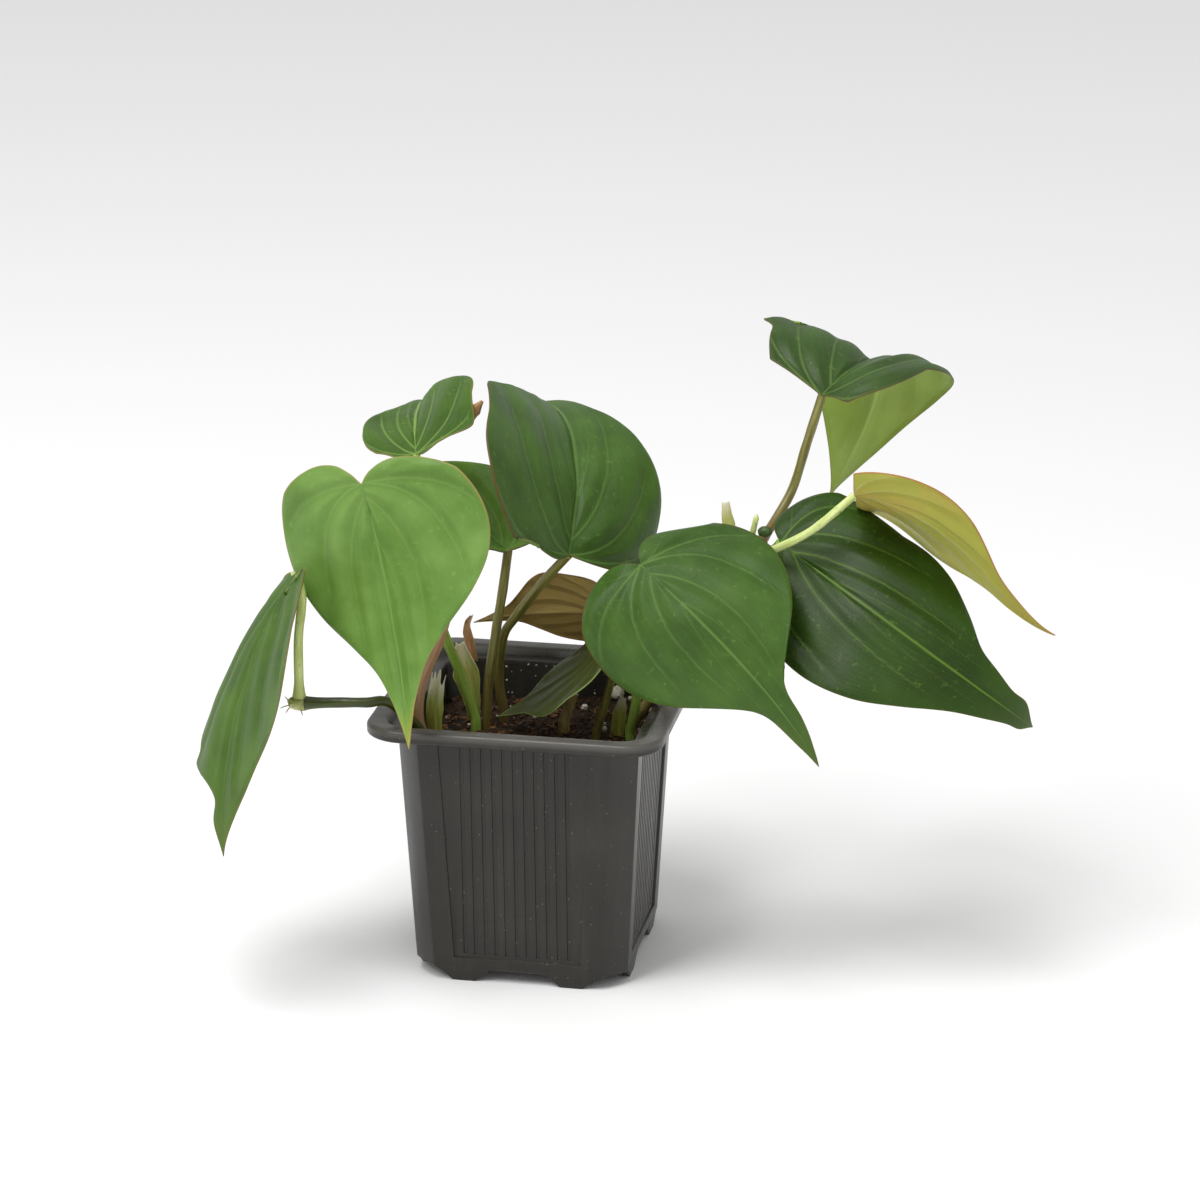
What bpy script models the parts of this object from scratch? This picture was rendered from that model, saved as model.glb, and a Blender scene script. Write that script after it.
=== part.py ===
"""Heartleaf philodendron in a square ribbed nursery pot, on its saucerless feet.

The pot is a thin moulded shell. Soil fills it to just under the rim, and a dozen
petioles and two trailing vines root in that soil and carry eleven leaves.
Metres, +Z up, origin under the middle of the whole plant's box, on the floor.
"""
import math

import bmesh
import bpy
import numpy as np
from mathutils import Matrix, Vector

# Driving sizes
POT_RIM_WIDTH = 0.080
POT_HEIGHT = 0.0745
POT_TOP_WIDTH = 0.0656
POT_BASE_WIDTH = 0.0580
POT_WALL = 0.0014
POT_CHAMFER = 0.0064
RIM_HEIGHT = 0.0035
RIM_CORNER = 0.0100
RIM_INSIDE = 0.0690
FOOT_HEIGHT = 0.0032
GROOVES = 11
GROOVE_PITCH = 0.00285
SOIL_DEPTH = 0.013
CLEARANCE = 0.0003
LEAF_THICKNESS = 0.0005
PETIOLE_RADIUS = 0.00125
VINE_RADIUS = 0.00135
ROOT_DEPTH = 0.008

SOIL_TOP = POT_HEIGHT - SOIL_DEPTH
RIM_UNDER = POT_HEIGHT - RIM_HEIGHT
FLOOR_TOP = FOOT_HEIGHT + POT_WALL
MM = 0.001

# Half outline of a heart-shaped blade: share of length, share of half width
HALF_HEART = (
    (0, 0), (-0.045, 0.10), (-0.085, 0.28), (-0.085, 0.50), (-0.03, 0.76),
    (0.07, 0.93), (0.20, 1.0), (0.33, 0.94), (0.46, 0.75), (0.58, 0.48),
    (0.69, 0.25), (0.80, 0.125), (0.90, 0.055), (1, 0),
)

for old in list(bpy.data.objects):
    bpy.data.objects.remove(old, do_unlink=True)
plant = bpy.data.collections.new("potted_philodendron")
cutters = bpy.data.collections.new("cutters")
bpy.context.scene.collection.children.link(plant)
bpy.context.scene.collection.children.link(cutters)
root = bpy.data.objects.new("potted_philodendron_root", None)
plant.objects.link(root)


# Materials
def material(name, colour, roughness):
    made = bpy.data.materials.new(name)
    made.use_nodes = True
    shader = made.node_tree.nodes["Principled BSDF"]
    shader.inputs["Base Color"].default_value = (*colour, 1)
    shader.inputs["Roughness"].default_value = roughness
    shader.inputs["Metallic"].default_value = 0
    return made


POT_PLASTIC = material("pot_plastic", (0.035, 0.033, 0.032), 0.45)
SOIL = material("soil", (0.030, 0.020, 0.013), 0.95)
PERLITE = material("perlite", (0.75, 0.72, 0.66), 0.9)
LEAF_GREEN = material("leaf_green", (0.10, 0.21, 0.05), 0.4)
LEAF_YOUNG = material("leaf_young", (0.45, 0.40, 0.10), 0.45)
LEAF_TAN = material("leaf_tan", (0.20, 0.13, 0.04), 0.55)
STEM_GREEN = material("stem_green", (0.16, 0.20, 0.06), 0.45)
SHEATH_PALE = material("sheath_pale", (0.50, 0.52, 0.28), 0.6)


# Placing and naming
def soil_place(x, y, above):
    """A place given in mm from the middle of the soil's top."""
    return Vector((x * MM, y * MM, SOIL_TOP + above * MM))


def rim_place(x, y, above):
    """A place given in mm from the middle of the rim's left edge."""
    return Vector((x * MM - POT_RIM_WIDTH / 2, y * MM, POT_HEIGHT + above * MM))


def finish(name, bm, finish_material, smooth=True):
    mesh = bpy.data.meshes.new(name)
    bmesh.ops.recalc_face_normals(bm, faces=bm.faces)
    bm.to_mesh(mesh)
    bm.free()
    if smooth:
        mesh.shade_smooth()
    return keep(name, mesh, finish_material)


def keep(name, data, finish_material):
    obj = bpy.data.objects.new(name, data)
    obj.data.materials.append(finish_material)
    obj.parent = root
    plant.objects.link(obj)
    return obj


def cutter(name, bm):
    mesh = bpy.data.meshes.new(name)
    bmesh.ops.recalc_face_normals(bm, faces=bm.faces)
    bm.to_mesh(mesh)
    bm.free()
    obj = bpy.data.objects.new(name, mesh)
    obj.hide_render = True
    obj.display_type = "WIRE"
    obj.parent = root
    cutters.objects.link(obj)
    return obj


def boolean(obj, other, operation="DIFFERENCE"):
    cut = obj.modifiers.new(other.name, "BOOLEAN")
    cut.object = other
    cut.operation = operation


# Pot: sections of one moulded shell, lofted outside upwards and inside downwards
def wall_half(z):
    share = z / RIM_UNDER
    return (POT_BASE_WIDTH + (POT_TOP_WIDTH - POT_BASE_WIDTH) * share) / 2


def square_section(half, corner, z, roundness):
    """A square with cut corners: roundness 0 is a chamfer and 1 is an arc."""
    points = []
    for quarter in range(4):
        turn = Matrix.Rotation(quarter * math.pi / 2, 3, "Z")
        for step in range(5):
            share = step / 4
            arc = Vector((math.cos(share * math.pi / 2), math.sin(share * math.pi / 2), 0))
            flat = Vector((1 - share, share, 0))
            offset = flat.lerp(arc, roundness) * corner
            middle = Vector((half - corner, half - corner, z))
            points.append(turn @ (middle + offset))
    return points


def loft(bm, sections):
    """Skins closed sections one after another and caps both ends."""
    rings = [[bm.verts.new(point) for point in section] for section in sections]
    for lower, upper in zip(rings, rings[1:]):
        for index, start in enumerate(lower):
            bm.faces.new((lower[index - 1], start, upper[index], upper[index - 1]))
    bm.faces.new(reversed(rings[0]))
    bm.faces.new(rings[-1])


def wall_block(bm, side, low, high, x_low, x_high, proud, deep):
    """A block standing on a side wall and following its slope."""
    turn = Matrix.Rotation(side * math.pi / 2, 3, "Z")
    for vert in bmesh.ops.create_cube(bm, size=2)["verts"]:
        top = vert.co.z > 0
        z = high if top else low
        x = x_high if top else x_low
        x = x[1] if vert.co.x > 0 else x[0]
        y = -wall_half(z) - proud if vert.co.y < 0 else -wall_half(z) + deep
        vert.co = turn @ Vector((x, y, z))


def make_pot():
    half = POT_RIM_WIDTH / 2
    inside = RIM_INSIDE / 2
    shell = bmesh.new()
    loft(shell, [
        square_section(wall_half(FOOT_HEIGHT), POT_CHAMFER, FOOT_HEIGHT, 0),
        square_section(wall_half(RIM_UNDER), POT_CHAMFER, RIM_UNDER, 0),
        square_section(half - 0.0006, RIM_CORNER, RIM_UNDER, 1),
        square_section(half, RIM_CORNER, RIM_UNDER + 0.0008, 1),
        square_section(half, RIM_CORNER, POT_HEIGHT - 0.0010, 1),
        square_section(half - 0.0010, RIM_CORNER - 0.001, POT_HEIGHT, 1),
        square_section(inside, 0.0065, POT_HEIGHT, 1),
        square_section(inside - 0.0010, 0.0060, POT_HEIGHT - 0.0030, 0.7),
        square_section(wall_half(RIM_UNDER) - POT_WALL, 0.0056, POT_HEIGHT - 0.0034, 0),
        square_section(wall_half(FLOOR_TOP) - POT_WALL, 0.0056, FLOOR_TOP, 0),
    ])
    pot = finish("pot", shell, POT_PLASTIC, smooth=False)

    feet = bmesh.new()
    panels = bmesh.new()
    ribs = bmesh.new()
    for side in range(4):
        for middle in (-0.0148, 0.0148):
            wall_block(feet, side, 0, FOOT_HEIGHT + 0.0006, (middle - 0.003, middle + 0.003),
                       (middle - 0.0075, middle + 0.0075), -0.0002, 0.0034)
        wall_block(panels, side, 0.007, RIM_UNDER - 0.0028, (-0.0175, 0.0175),
                   (-0.0205, 0.0205), 0.001, 0.0003)
        for index in range(GROOVES):
            x = (index - (GROOVES - 1) / 2) * GROOVE_PITCH
            edges = (x - 0.0006, x + 0.0006)
            wall_block(ribs, side, 0.0098, RIM_UNDER - 0.0065, edges, edges, 0.001, 0.0007)
    boolean(pot, cutter("pot_feet", feet), "UNION")
    boolean(pot, cutter("pot_panels", panels))
    boolean(pot, cutter("pot_grooves", ribs))
    drains = bmesh.new()
    for x in (-0.013, 0.013):
        for y in (-0.013, 0.013):
            place = Matrix.Translation((x, y, FOOT_HEIGHT))
            bmesh.ops.create_cone(drains, cap_ends=True, segments=20, radius1=0.004,
                                  radius2=0.004, depth=0.01, matrix=place)
    boolean(pot, cutter("pot_drain_holes", drains))


# Soil: a block that follows the shell's inside, with a slightly uneven top
def make_soil(sockets):
    gap = POT_WALL + CLEARANCE
    bm = bmesh.new()
    bmesh.ops.create_grid(bm, x_segments=12, y_segments=12, size=1)
    down = bmesh.ops.extrude_face_region(bm, geom=bm.faces[:])["geom"]
    below = {item for item in down if isinstance(item, bmesh.types.BMVert)}
    for vert in bm.verts:
        x, y = vert.co.x, vert.co.y
        reach = max(abs(x), abs(y), 1e-6)
        corner_cut = min(1, (2 - 0.21) * reach / (abs(x) + abs(y) + 1e-6))
        if vert in below:
            z = FLOOR_TOP + CLEARANCE
        else:
            rough = math.sin(7.1 * x + 1.3) * math.cos(6.3 * y) + 0.6 * math.sin(11 * y + 4 * x)
            z = SOIL_TOP + 0.0004 * rough
        width = (wall_half(z) - gap) * corner_cut
        vert.co = (x * width, y * width, z)
    soil = finish("soil", bm, SOIL)
    holes = bmesh.new()
    for low, high, radius in sockets:
        along = (high - low).normalized()
        low = low - along * CLEARANCE
        high = high + along * 0.006
        place = Matrix.Translation((low + high) / 2) @ along.to_track_quat("Z", "Y").to_matrix().to_4x4()
        bmesh.ops.create_cone(holes, cap_ends=True, segments=12, radius1=radius + CLEARANCE,
                              radius2=radius + CLEARANCE, depth=(high - low).length, matrix=place)
    boolean(soil, cutter("root_sockets", holes))


# Stems: smooth tubes through a few points, straight where they stand in the soil
def smooth_path(points, step=0.004):
    """Points along a Catmull-Rom curve through the given ones."""
    chain = [2 * points[0] - points[1], *points, 2 * points[-1] - points[-2]]
    path = []
    for before, start, end, after in zip(chain, chain[1:], chain[2:], chain[3:]):
        count = max(1, round((end - start).length / step))
        for index in range(count):
            t = index / count
            path.append(0.5 * (2 * start + (end - before) * t
                               + (2 * before - 5 * start + 4 * end - after) * t * t
                               + (3 * start - before - 3 * end + after) * t ** 3))
    path.append(points[-1])
    return path


def stem(name, points, radius, stem_material=STEM_GREEN, tip_share=1.0):
    path = smooth_path(points)
    curve = bpy.data.curves.new(name, "CURVE")
    curve.dimensions = "3D"
    curve.bevel_depth = radius
    curve.bevel_resolution = 2
    curve.use_fill_caps = True
    line = curve.splines.new("POLY")
    line.points.add(len(path) - 1)
    for index, (point, place) in enumerate(zip(line.points, path)):
        point.co = (*place, 1)
        point.radius = 1 + (tip_share - 1) * index / (len(path) - 1)
    return keep(name, curve, stem_material)


SOCKETS = []


def rooted(name, x, y, points, radius=PETIOLE_RADIUS, stem_material=STEM_GREEN, tip_share=1.0):
    """A stem that stands upright in the soil at x, y mm and goes on through points."""
    low = soil_place(x, y, 0) - Vector((0, 0, ROOT_DEPTH))
    surface = soil_place(x, y, 0)
    high = soil_place(x, y, 3)
    SOCKETS.append((low, surface, radius))
    return stem(name, [low, surface, high, *points], radius, stem_material, tip_share)


# Leaves: a flat heart bent along its midrib, each half folded and curled on its own
def turn_about(axis, degrees):
    return np.array(Matrix.Rotation(math.radians(degrees), 3, axis))


def heart_edge(share):
    """The half outline at a share of the way from the base to the tip."""
    points = np.array(HALF_HEART, float)
    points = np.vstack([2 * points[0] - points[1], points, 2 * points[-1] - points[-2]])
    place = share * (len(HALF_HEART) - 1)
    index = min(int(place), len(HALF_HEART) - 2)
    t = place - index
    before, start, end, after = points[index:index + 4]
    return 0.5 * (2 * start + (end - before) * t
                  + (2 * before - 5 * start + 4 * end - after) * t * t
                  + (3 * start - before - 3 * end + after) * t ** 3)


def leaf(name, base, heading, pitch, roll, length, widths, droop=0, tip_droop=0, twist=0,
         sway=0, fold=(0, 0), curl=(0, 0), lobes=(1, 1), lobe_droop=0, taper=0,
         leaf_material=LEAF_GREEN):
    """Angles in degrees. Paired values are the left half's and the right half's."""
    forward = Vector((math.cos(math.radians(heading)) * math.cos(math.radians(pitch)),
                      math.sin(math.radians(heading)) * math.cos(math.radians(pitch)),
                      math.sin(math.radians(pitch))))
    normal = Vector((-math.cos(math.radians(heading)) * math.sin(math.radians(pitch)),
                     -math.sin(math.radians(heading)) * math.sin(math.radians(pitch)),
                     math.cos(math.radians(pitch))))
    normal = Matrix.Rotation(math.radians(roll), 3, forward) @ normal
    axes = np.array([forward, forward.cross(normal), normal]).T

    def bend(u):
        down = droop * u + tip_droop * u ** 4 if u >= 0 else lobe_droop * u / 0.1
        turned = turn_about("Y", down)
        if u < 0:
            return turned
        return turned @ turn_about("Z", -sway * u * u) @ turn_about("X", twist * u)

    steps = np.linspace(-0.3, 1, 66)
    ahead = np.array([bend((a + b) / 2)[:, 0] * (b - a) for a, b in zip(steps, steps[1:])])
    midrib = np.vstack([np.zeros(3), np.cumsum(ahead, axis=0)]) * length * MM
    midrib -= midrib[15]

    bm = bmesh.new()
    bmesh.ops.create_grid(bm, x_segments=14, y_segments=10, size=1)
    for vert in bm.verts:
        along = (vert.co.x + 1) / 2
        across = abs(vert.co.y)
        half = 0 if vert.co.y > 0 else 1
        u, v = heart_edge(along)
        late = min(max((u - 0.25) / 0.75, 0), 1)
        v += taper * 4 * late * (1 - late) * (1 - late ** 3)
        if u < 0:
            u *= lobes[half]
        u = along * (1 - across) + u * across
        v *= across
        start = math.radians(fold[half])
        bow = math.radians(curl[half]) + 1e-6
        width = widths[half] / 2 * MM
        out = (math.sin(start + bow * v) - math.sin(start)) / bow * width
        lift = (math.cos(start) - math.cos(start + bow * v)) / bow * width
        side = -out if half == 0 else out
        on_rib = np.array([np.interp(u, steps, midrib[:, k]) for k in range(3)])
        vert.co = base + Vector(axes @ (on_rib + bend(u) @ np.array([0, side, lift])))
    bmesh.ops.remove_doubles(bm, verts=bm.verts, dist=0.00002)
    bmesh.ops.dissolve_degenerate(bm, dist=0.00001, edges=bm.edges)
    bmesh.ops.triangulate(bm, faces=bm.faces)
    made = finish(name, bm, leaf_material)
    skin = made.modifiers.new("thickness", "SOLIDIFY")
    skin.thickness = LEAF_THICKNESS
    skin.offset = 0
    return made


# Sheaths: papery bracts, a narrow strip wrapped round a line
def sheath(name, points, half_widths, wrap, facing, sheath_material=SHEATH_PALE):
    """Half widths are in mm, and facing is the way the open side looks."""
    bm = bmesh.new()
    bmesh.ops.create_grid(bm, x_segments=len(points) * 3 - 3, y_segments=6, size=1)
    path = smooth_path(points, 1)
    curve = [Vector(p) for p in path]
    facing = Vector(facing).normalized()
    for vert in bm.verts:
        place = (vert.co.x + 1) / 2 * (len(curve) - 1)
        index = min(int(place), len(curve) - 2)
        t = place - index
        middle = curve[index].lerp(curve[index + 1], t)
        along = (curve[index + 1] - curve[index]).normalized()
        across = along.cross(facing).normalized()
        out = across.cross(along).normalized()
        half = np.interp(place, range(len(half_widths)), half_widths) * MM
        radius = half / math.sin(math.radians(min(wrap, 175) / 2))
        angle = vert.co.y * math.radians(wrap / 2)
        vert.co = middle + across * radius * math.sin(angle) - out * radius * (1 - math.cos(angle))
    made = finish(name, bm, sheath_material)
    skin = made.modifiers.new("thickness", "SOLIDIFY")
    skin.thickness = 0.0004
    skin.offset = 0
    return made


def nodule(name, centre, radii, nodule_material=SHEATH_PALE, detail=2):
    bm = bmesh.new()
    bmesh.ops.create_icosphere(bm, subdivisions=detail, radius=1)
    bmesh.ops.scale(bm, vec=Vector(radii) * MM, verts=bm.verts)
    bmesh.ops.translate(bm, vec=centre, verts=bm.verts)
    return finish(name, bm, nodule_material)


make_pot()

# Low left leaf, on the vine that hangs over the rim
leaf("leaf_low_left", rim_place(-18.5, -32, 40.2), -121, -43, 22, 79, (63, 64), droop=37,
     tip_droop=6, twist=21, sway=-3, fold=(4, -7), curl=(27, -40), lobes=(0.5, 0),
     lobe_droop=8, taper=0.34)
rooted("vine_left", -25, -23.5, [soil_place(-26.5, -25, 8), rim_place(6, -29, 4),
                               rim_place(0, -31, 4.4), rim_place(-7, -32, 4.3),
                               rim_place(-14.2, -33, 3.9)], VINE_RADIUS)
nodule("node_left", rim_place(-17.8, -33, 3.8), (3.2, 2.2, 2.4))
stem("petiole_low_left", [rim_place(-17.9, -33, 6.6), rim_place(-17.6, -33.5, 21.8),
                          rim_place(-16.6, -32.8, 33), rim_place(-18, -31.3, 38.4)],
     PETIOLE_RADIUS, SHEATH_PALE)

# Big front leaf on its tan petiole
leaf("leaf_front", soil_place(-39.5, -34.5, 79), -2, -75, 102, 71.5, (65, 60), droop=-30,
     tip_droop=-9, twist=-9, sway=11, fold=(-8, 1), curl=(-2, -13), lobe_droop=42)
rooted("petiole_front", -27, -19.5, [soil_place(-29, -20, 10), soil_place(-28, -19.5, 20),
                                     soil_place(-22.8, -18, 34), soil_place(-19, -17, 54),
                                     soil_place(-25, -20, 72), soil_place(-36, -29, 79),
                                     soil_place(-39, -33.4, 79)], 0.0014, LEAF_TAN)
sheath("sheath_ragged", [soil_place(-23.5, -16.6, 1), soil_place(-24.6, -16.6, 10),
                         soil_place(-23.2, -15.4, 20)], (1.6, 2.6, 1.2), 70, (-1, 0.2, 0))

# Top left leaf, on a winged petiole that passes in front of the leaf behind
leaf("leaf_top_left", soil_place(-32.5, -1.5, 78), 107, 17, -25, 53, (28, 46), droop=32,
     tip_droop=14, twist=17, sway=-3, fold=(31, 16), curl=(-8, -22), lobe_droop=-38,
     taper=0.07)
rooted("petiole_top_left", -17.2, 0, [soil_place(-18, 0, 6), soil_place(-21, -2, 17),
                                      soil_place(-25.5, -6, 33), soil_place(-29.5, -10, 56),
                                      soil_place(-32.2, -4.5, 75.4)])
sheath("sheath_top_left", [soil_place(-18.6, 3, 3), soil_place(-19.8, 1.8, 13),
                           soil_place(-21.8, 0, 22)], (1.4, 2.5, 1.5), 150, (-0.1, 1, 0))
sheath("sheath_dry_tip", [soil_place(-18.0, 1.8, 25.5), soil_place(-18.6, 1.2, 30),
                          soil_place(-16.6, 1.0, 34)], (1.4, 1.6, 0.7), 120, (0.3, 1, 0),
       LEAF_TAN)

# Leaf behind, pointing away to the left
leaf("leaf_behind", soil_place(-10.7, 13, 47.8), 141, 20, -7, 60, (47, 38), tip_droop=47,
     twist=4, sway=-2, fold=(30, 23), curl=(-6, -8), lobes=(0.5, 0.5), lobe_droop=-9,
     taper=0.06)
rooted("petiole_behind", -14.7, 2, [soil_place(-13.9, 2.5, 15), soil_place(-12.4, 4, 27),
                                    soil_place(-11.2, 8, 38), soil_place(-10.6, 12.5, 46.6)])

# Upright leaf in the middle, nodding away from the front
leaf("leaf_upright", soil_place(9.3, -4, 53), 68, 66, 52, 79, (78, 58), droop=118,
     tip_droop=-34, twist=35, sway=-7, fold=(39, 10), curl=(-8, -60), lobes=(0.7, 0.15),
     lobe_droop=-49, taper=0.04)
rooted("petiole_upright", -11.4, 9, [soil_place(-12.6, 9, 12), soil_place(-11.2, 8, 24.5),
                                     soil_place(-7.1, 6, 31.5), soil_place(2.4, 0, 44.6),
                                     soil_place(8.4, -3.4, 51.8)])

# Small tan leaf and small dark leaf under the canopy
leaf("leaf_tan", soil_place(17.3, 8, 33.5), 156, -7, 58, 42.5, (31, 29), droop=17,
     tip_droop=2, twist=-6, sway=-4, fold=(8, 11), curl=(-19, -9), lobe_droop=8,
     leaf_material=LEAF_TAN)
rooted("petiole_tan", 24.5, 10.5, [soil_place(26.5, 9, 16), soil_place(25, 7.4, 28),
                                   soil_place(18.6, 6.6, 32.5)])
leaf("leaf_dark", soil_place(19.7, -4.9, 28.6), 168, -44, -22, 42, (35, 25), droop=-8,
     tip_droop=-6, twist=1, sway=-12, fold=(5, 5), curl=(-1, -16), lobes=(1, 0.1),
     lobe_droop=8, taper=0.17)
rooted("petiole_dark", 17, -4, [soil_place(20, -5, 14), soil_place(22, -5.2, 23),
                                soil_place(20.8, -5.1, 27.4)])

# Front right leaf
leaf("leaf_front_right", soil_place(32.3, -22, 57.2), -32, -26, 45, 74, (63, 59), droop=51,
     tip_droop=12, twist=-35, sway=-9, fold=(-18, 1), curl=(-27, -38), lobes=(1.5, 1.3),
     lobe_droop=31)
rooted("petiole_front_right", 25.4, 0.6, [soil_place(27.5, -1.5, 13), soil_place(27, -3, 28),
                                      soil_place(29, -8, 45), soil_place(31.6, -18, 54.6),
                                      soil_place(32.2, -21, 56.4)])

# Vine to the right, with its knot of young growth
rooted("vine_right", 25.4, 5.4, [soil_place(29.8, 4.5, 10), soil_place(38, 4, 26),
                                 soil_place(47, 4, 41), soil_place(54.8, 4, 53.2)],
       VINE_RADIUS, LEAF_TAN)
nodule("node_right", soil_place(57.5, 4, 55.5), (2.6, 2.4, 2.6))
leaf("leaf_right", soil_place(65.2, 3.7, 57.3), -35, -18, 52, 94, (49, 50), droop=38,
     tip_droop=70, twist=7, sway=4, fold=(-4, 8), curl=(-42, -6), lobes=(1.2, 0.3),
     lobe_droop=40, taper=0.18)
stem("petiole_right", [soil_place(60.6, 6, 54.2), soil_place(62.8, 6.3, 54.6),
                       soil_place(64.6, 5.4, 56)], 0.0011)
leaf("leaf_top_right", soil_place(72.6, 27.3, 91.7), 49, 36, 34, 82, (52, 40), droop=190,
     tip_droop=7, twist=13, sway=-14, fold=(12, 55), curl=(-32, -60), lobes=(0, 0),
     lobe_droop=8, taper=0.45)
stem("petiole_top_right", [soil_place(60, 7.4, 56.1), soil_place(62.5, 16, 60.5),
                           soil_place(66, 21.5, 67.5), soil_place(69.2, 22.5, 79),
                           soil_place(72, 26.4, 90.6)], PETIOLE_RADIUS)
leaf("leaf_young", soil_place(85.6, -2, 73.4), 2, -5, -26, 66, (48, 41), droop=82,
     tip_droop=-65, twist=27, sway=-8, curl=(0, 20), lobes=(0, 0), lobe_droop=6,
     leaf_material=LEAF_YOUNG)
stem("petiole_young", [soil_place(60.6, 2.2, 56.7), soil_place(63, -1.5, 56.8),
                       soil_place(66.6, -3.5, 58.6), soil_place(75.4, -5, 64.4),
                       soil_place(84.7, -2.6, 72.9)], PETIOLE_RADIUS, LEAF_YOUNG)
sheath("sheath_right", [soil_place(53.2, 2, 57.2), soil_place(51.6, 2, 63),
                        soil_place(50.8, 2, 68.8)], (1.6, 1.6, 0.8), 120, (0.4, -1, 0))
stem("spike_right", [soil_place(57.4, 3, 59), soil_place(58.4, 2.6, 62.4),
                     soil_place(59.4, 2.4, 65.4)], 0.0008, SHEATH_PALE, 0.3)
nodule("bud_right", soil_place(61.2, 3, 60.6), (1.7, 1.5, 1.5), LEAF_GREEN)

# Cut stub, wrapped shoot and perlite on the soil
rooted("stub", 6.5, 4, [soil_place(7.4, 5, 6), soil_place(8.6, 6, 10.4)], 0.0015, LEAF_TAN)
sheath("sheath_shoot", [soil_place(20.6, 3.2, 1), soil_place(21.6, 2.4, 6),
                        soil_place(23.2, 1.0, 11.5)], (1.4, 1.5, 0.6), 150, (-0.3, -1, 0))
for number, (x, y, size) in enumerate(
        ((14.5, 27, 1.7), (3, 27.5, 1.2), (-7, 28, 1.0), (9, 21, 0.9), (-20, 14, 1.1), (27.5, 22, 1.0)), 1):
    nodule(f"perlite_{number}", soil_place(x, y, size + 1.1), (size, size * 0.9, size * 0.8),
           PERLITE, 1)

make_soil(SOCKETS)

# The origin goes under the middle of the finished plant, on the floor
bpy.context.view_layer.update()
graph = bpy.context.evaluated_depsgraph_get()
corners = []
for obj in plant.objects:
    if obj.type == "EMPTY":
        continue
    made = obj.evaluated_get(graph)
    shape = made.to_mesh()
    corners += [made.matrix_world @ vert.co for vert in shape.vertices]
    made.to_mesh_clear()
for axis in (0, 1):
    values = [corner[axis] for corner in corners]
    root.location[axis] = -(min(values) + max(values)) / 2
bpy.context.view_layer.update()
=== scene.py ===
import math
import random

import bmesh
import bpy
import numpy as np
from mathutils import Matrix, Vector, noise


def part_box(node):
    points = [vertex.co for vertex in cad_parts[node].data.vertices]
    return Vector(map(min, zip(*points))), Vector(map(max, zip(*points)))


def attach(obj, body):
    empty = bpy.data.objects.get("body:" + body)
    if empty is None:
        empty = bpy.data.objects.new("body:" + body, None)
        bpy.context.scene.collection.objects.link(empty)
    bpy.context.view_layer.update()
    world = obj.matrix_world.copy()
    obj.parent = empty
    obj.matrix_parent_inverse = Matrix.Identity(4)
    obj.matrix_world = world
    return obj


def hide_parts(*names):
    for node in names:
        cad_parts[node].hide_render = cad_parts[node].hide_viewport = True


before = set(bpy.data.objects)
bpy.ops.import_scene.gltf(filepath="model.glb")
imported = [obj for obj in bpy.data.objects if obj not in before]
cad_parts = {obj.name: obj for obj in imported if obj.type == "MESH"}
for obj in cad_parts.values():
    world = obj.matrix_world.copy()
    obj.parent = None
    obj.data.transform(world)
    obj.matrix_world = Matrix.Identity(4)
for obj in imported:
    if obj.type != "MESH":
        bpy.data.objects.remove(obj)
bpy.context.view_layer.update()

MM = 0.001


# Pot: one injection-moulded shell of black polypropylene, about 1.4 mm thick.
# Each side has a sunk panel with eleven upright grooves, and a rolled rim stands
# out round the top. Eight short feet under the walls lift the drain holes.
pot_low, pot_high = (Vector(corner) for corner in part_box("pot"))
POT_CENTRE = (pot_low + pot_high) / 2
RIM_TOP = pot_high.z
RIM_HALF = (pot_high.x - pot_low.x) / 2
RIM_UNDER = RIM_TOP - 0.0035
FOOT_HEIGHT = 0.0032
POT_WALL = 0.0014
WALL_TOP_HALF = 0.0328
WALL_BASE_HALF = 0.0290
PANEL_LOW = 0.0068
GROOVES = 11
GROOVE_PITCH = 0.00285
GROOVE_HALF = 0.0005
GROOVE_DEPTH = 0.00115
HOLE_RADIUS = 0.004
HOLE_PLACE = 0.013
FOOT_PLACE = 0.0148
CORNER_STEPS = 8


def wall_half(z):
    return WALL_BASE_HALF + (WALL_TOP_HALF - WALL_BASE_HALF) * z / RIM_UNDER


def pot_place(x, y, z):
    return Vector((POT_CENTRE.x + x, POT_CENTRE.y + y, z))


def square_ring(half, corner, z, roundness=1.0):
    """A square with its corners cut straight (0) or rounded (1)."""
    ring = []
    for quarter in range(4):
        turn = Matrix.Rotation(quarter * math.pi / 2, 3, "Z")
        for step in range(CORNER_STEPS + 1):
            share = step / CORNER_STEPS
            arc = Vector((math.cos(share * math.pi / 2), math.sin(share * math.pi / 2), 0))
            flat = Vector((1 - share, share, 0))
            spot = turn @ (Vector((half - corner, half - corner, 0)) + flat.lerp(arc, roundness) * corner)
            ring.append(pot_place(spot.x, spot.y, z))
    return ring


def draw_wall(bm, rings):
    """Extrudes a loop of edges from ring to ring and closes both ends."""
    loop = bmesh.ops.create_circle(bm, segments=len(rings[0]), radius=1)["verts"]
    for vert, place in zip(loop, rings[0]):
        vert.co = place
    bmesh.ops.contextual_create(bm, geom=loop)
    for ring in rings[1:]:
        edges = [bm.edges.get(pair) for pair in zip(loop, loop[1:] + loop[:1])]
        made = bmesh.ops.extrude_edge_only(bm, edges=edges)["geom"]
        fresh = {item for item in made if isinstance(item, bmesh.types.BMVert)}
        loop = [next(e.other_vert(v) for e in v.link_edges if e.other_vert(v) in fresh) for v in loop]
        for vert, place in zip(loop, ring):
            vert.co = place
    bmesh.ops.contextual_create(bm, geom=loop)


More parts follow.
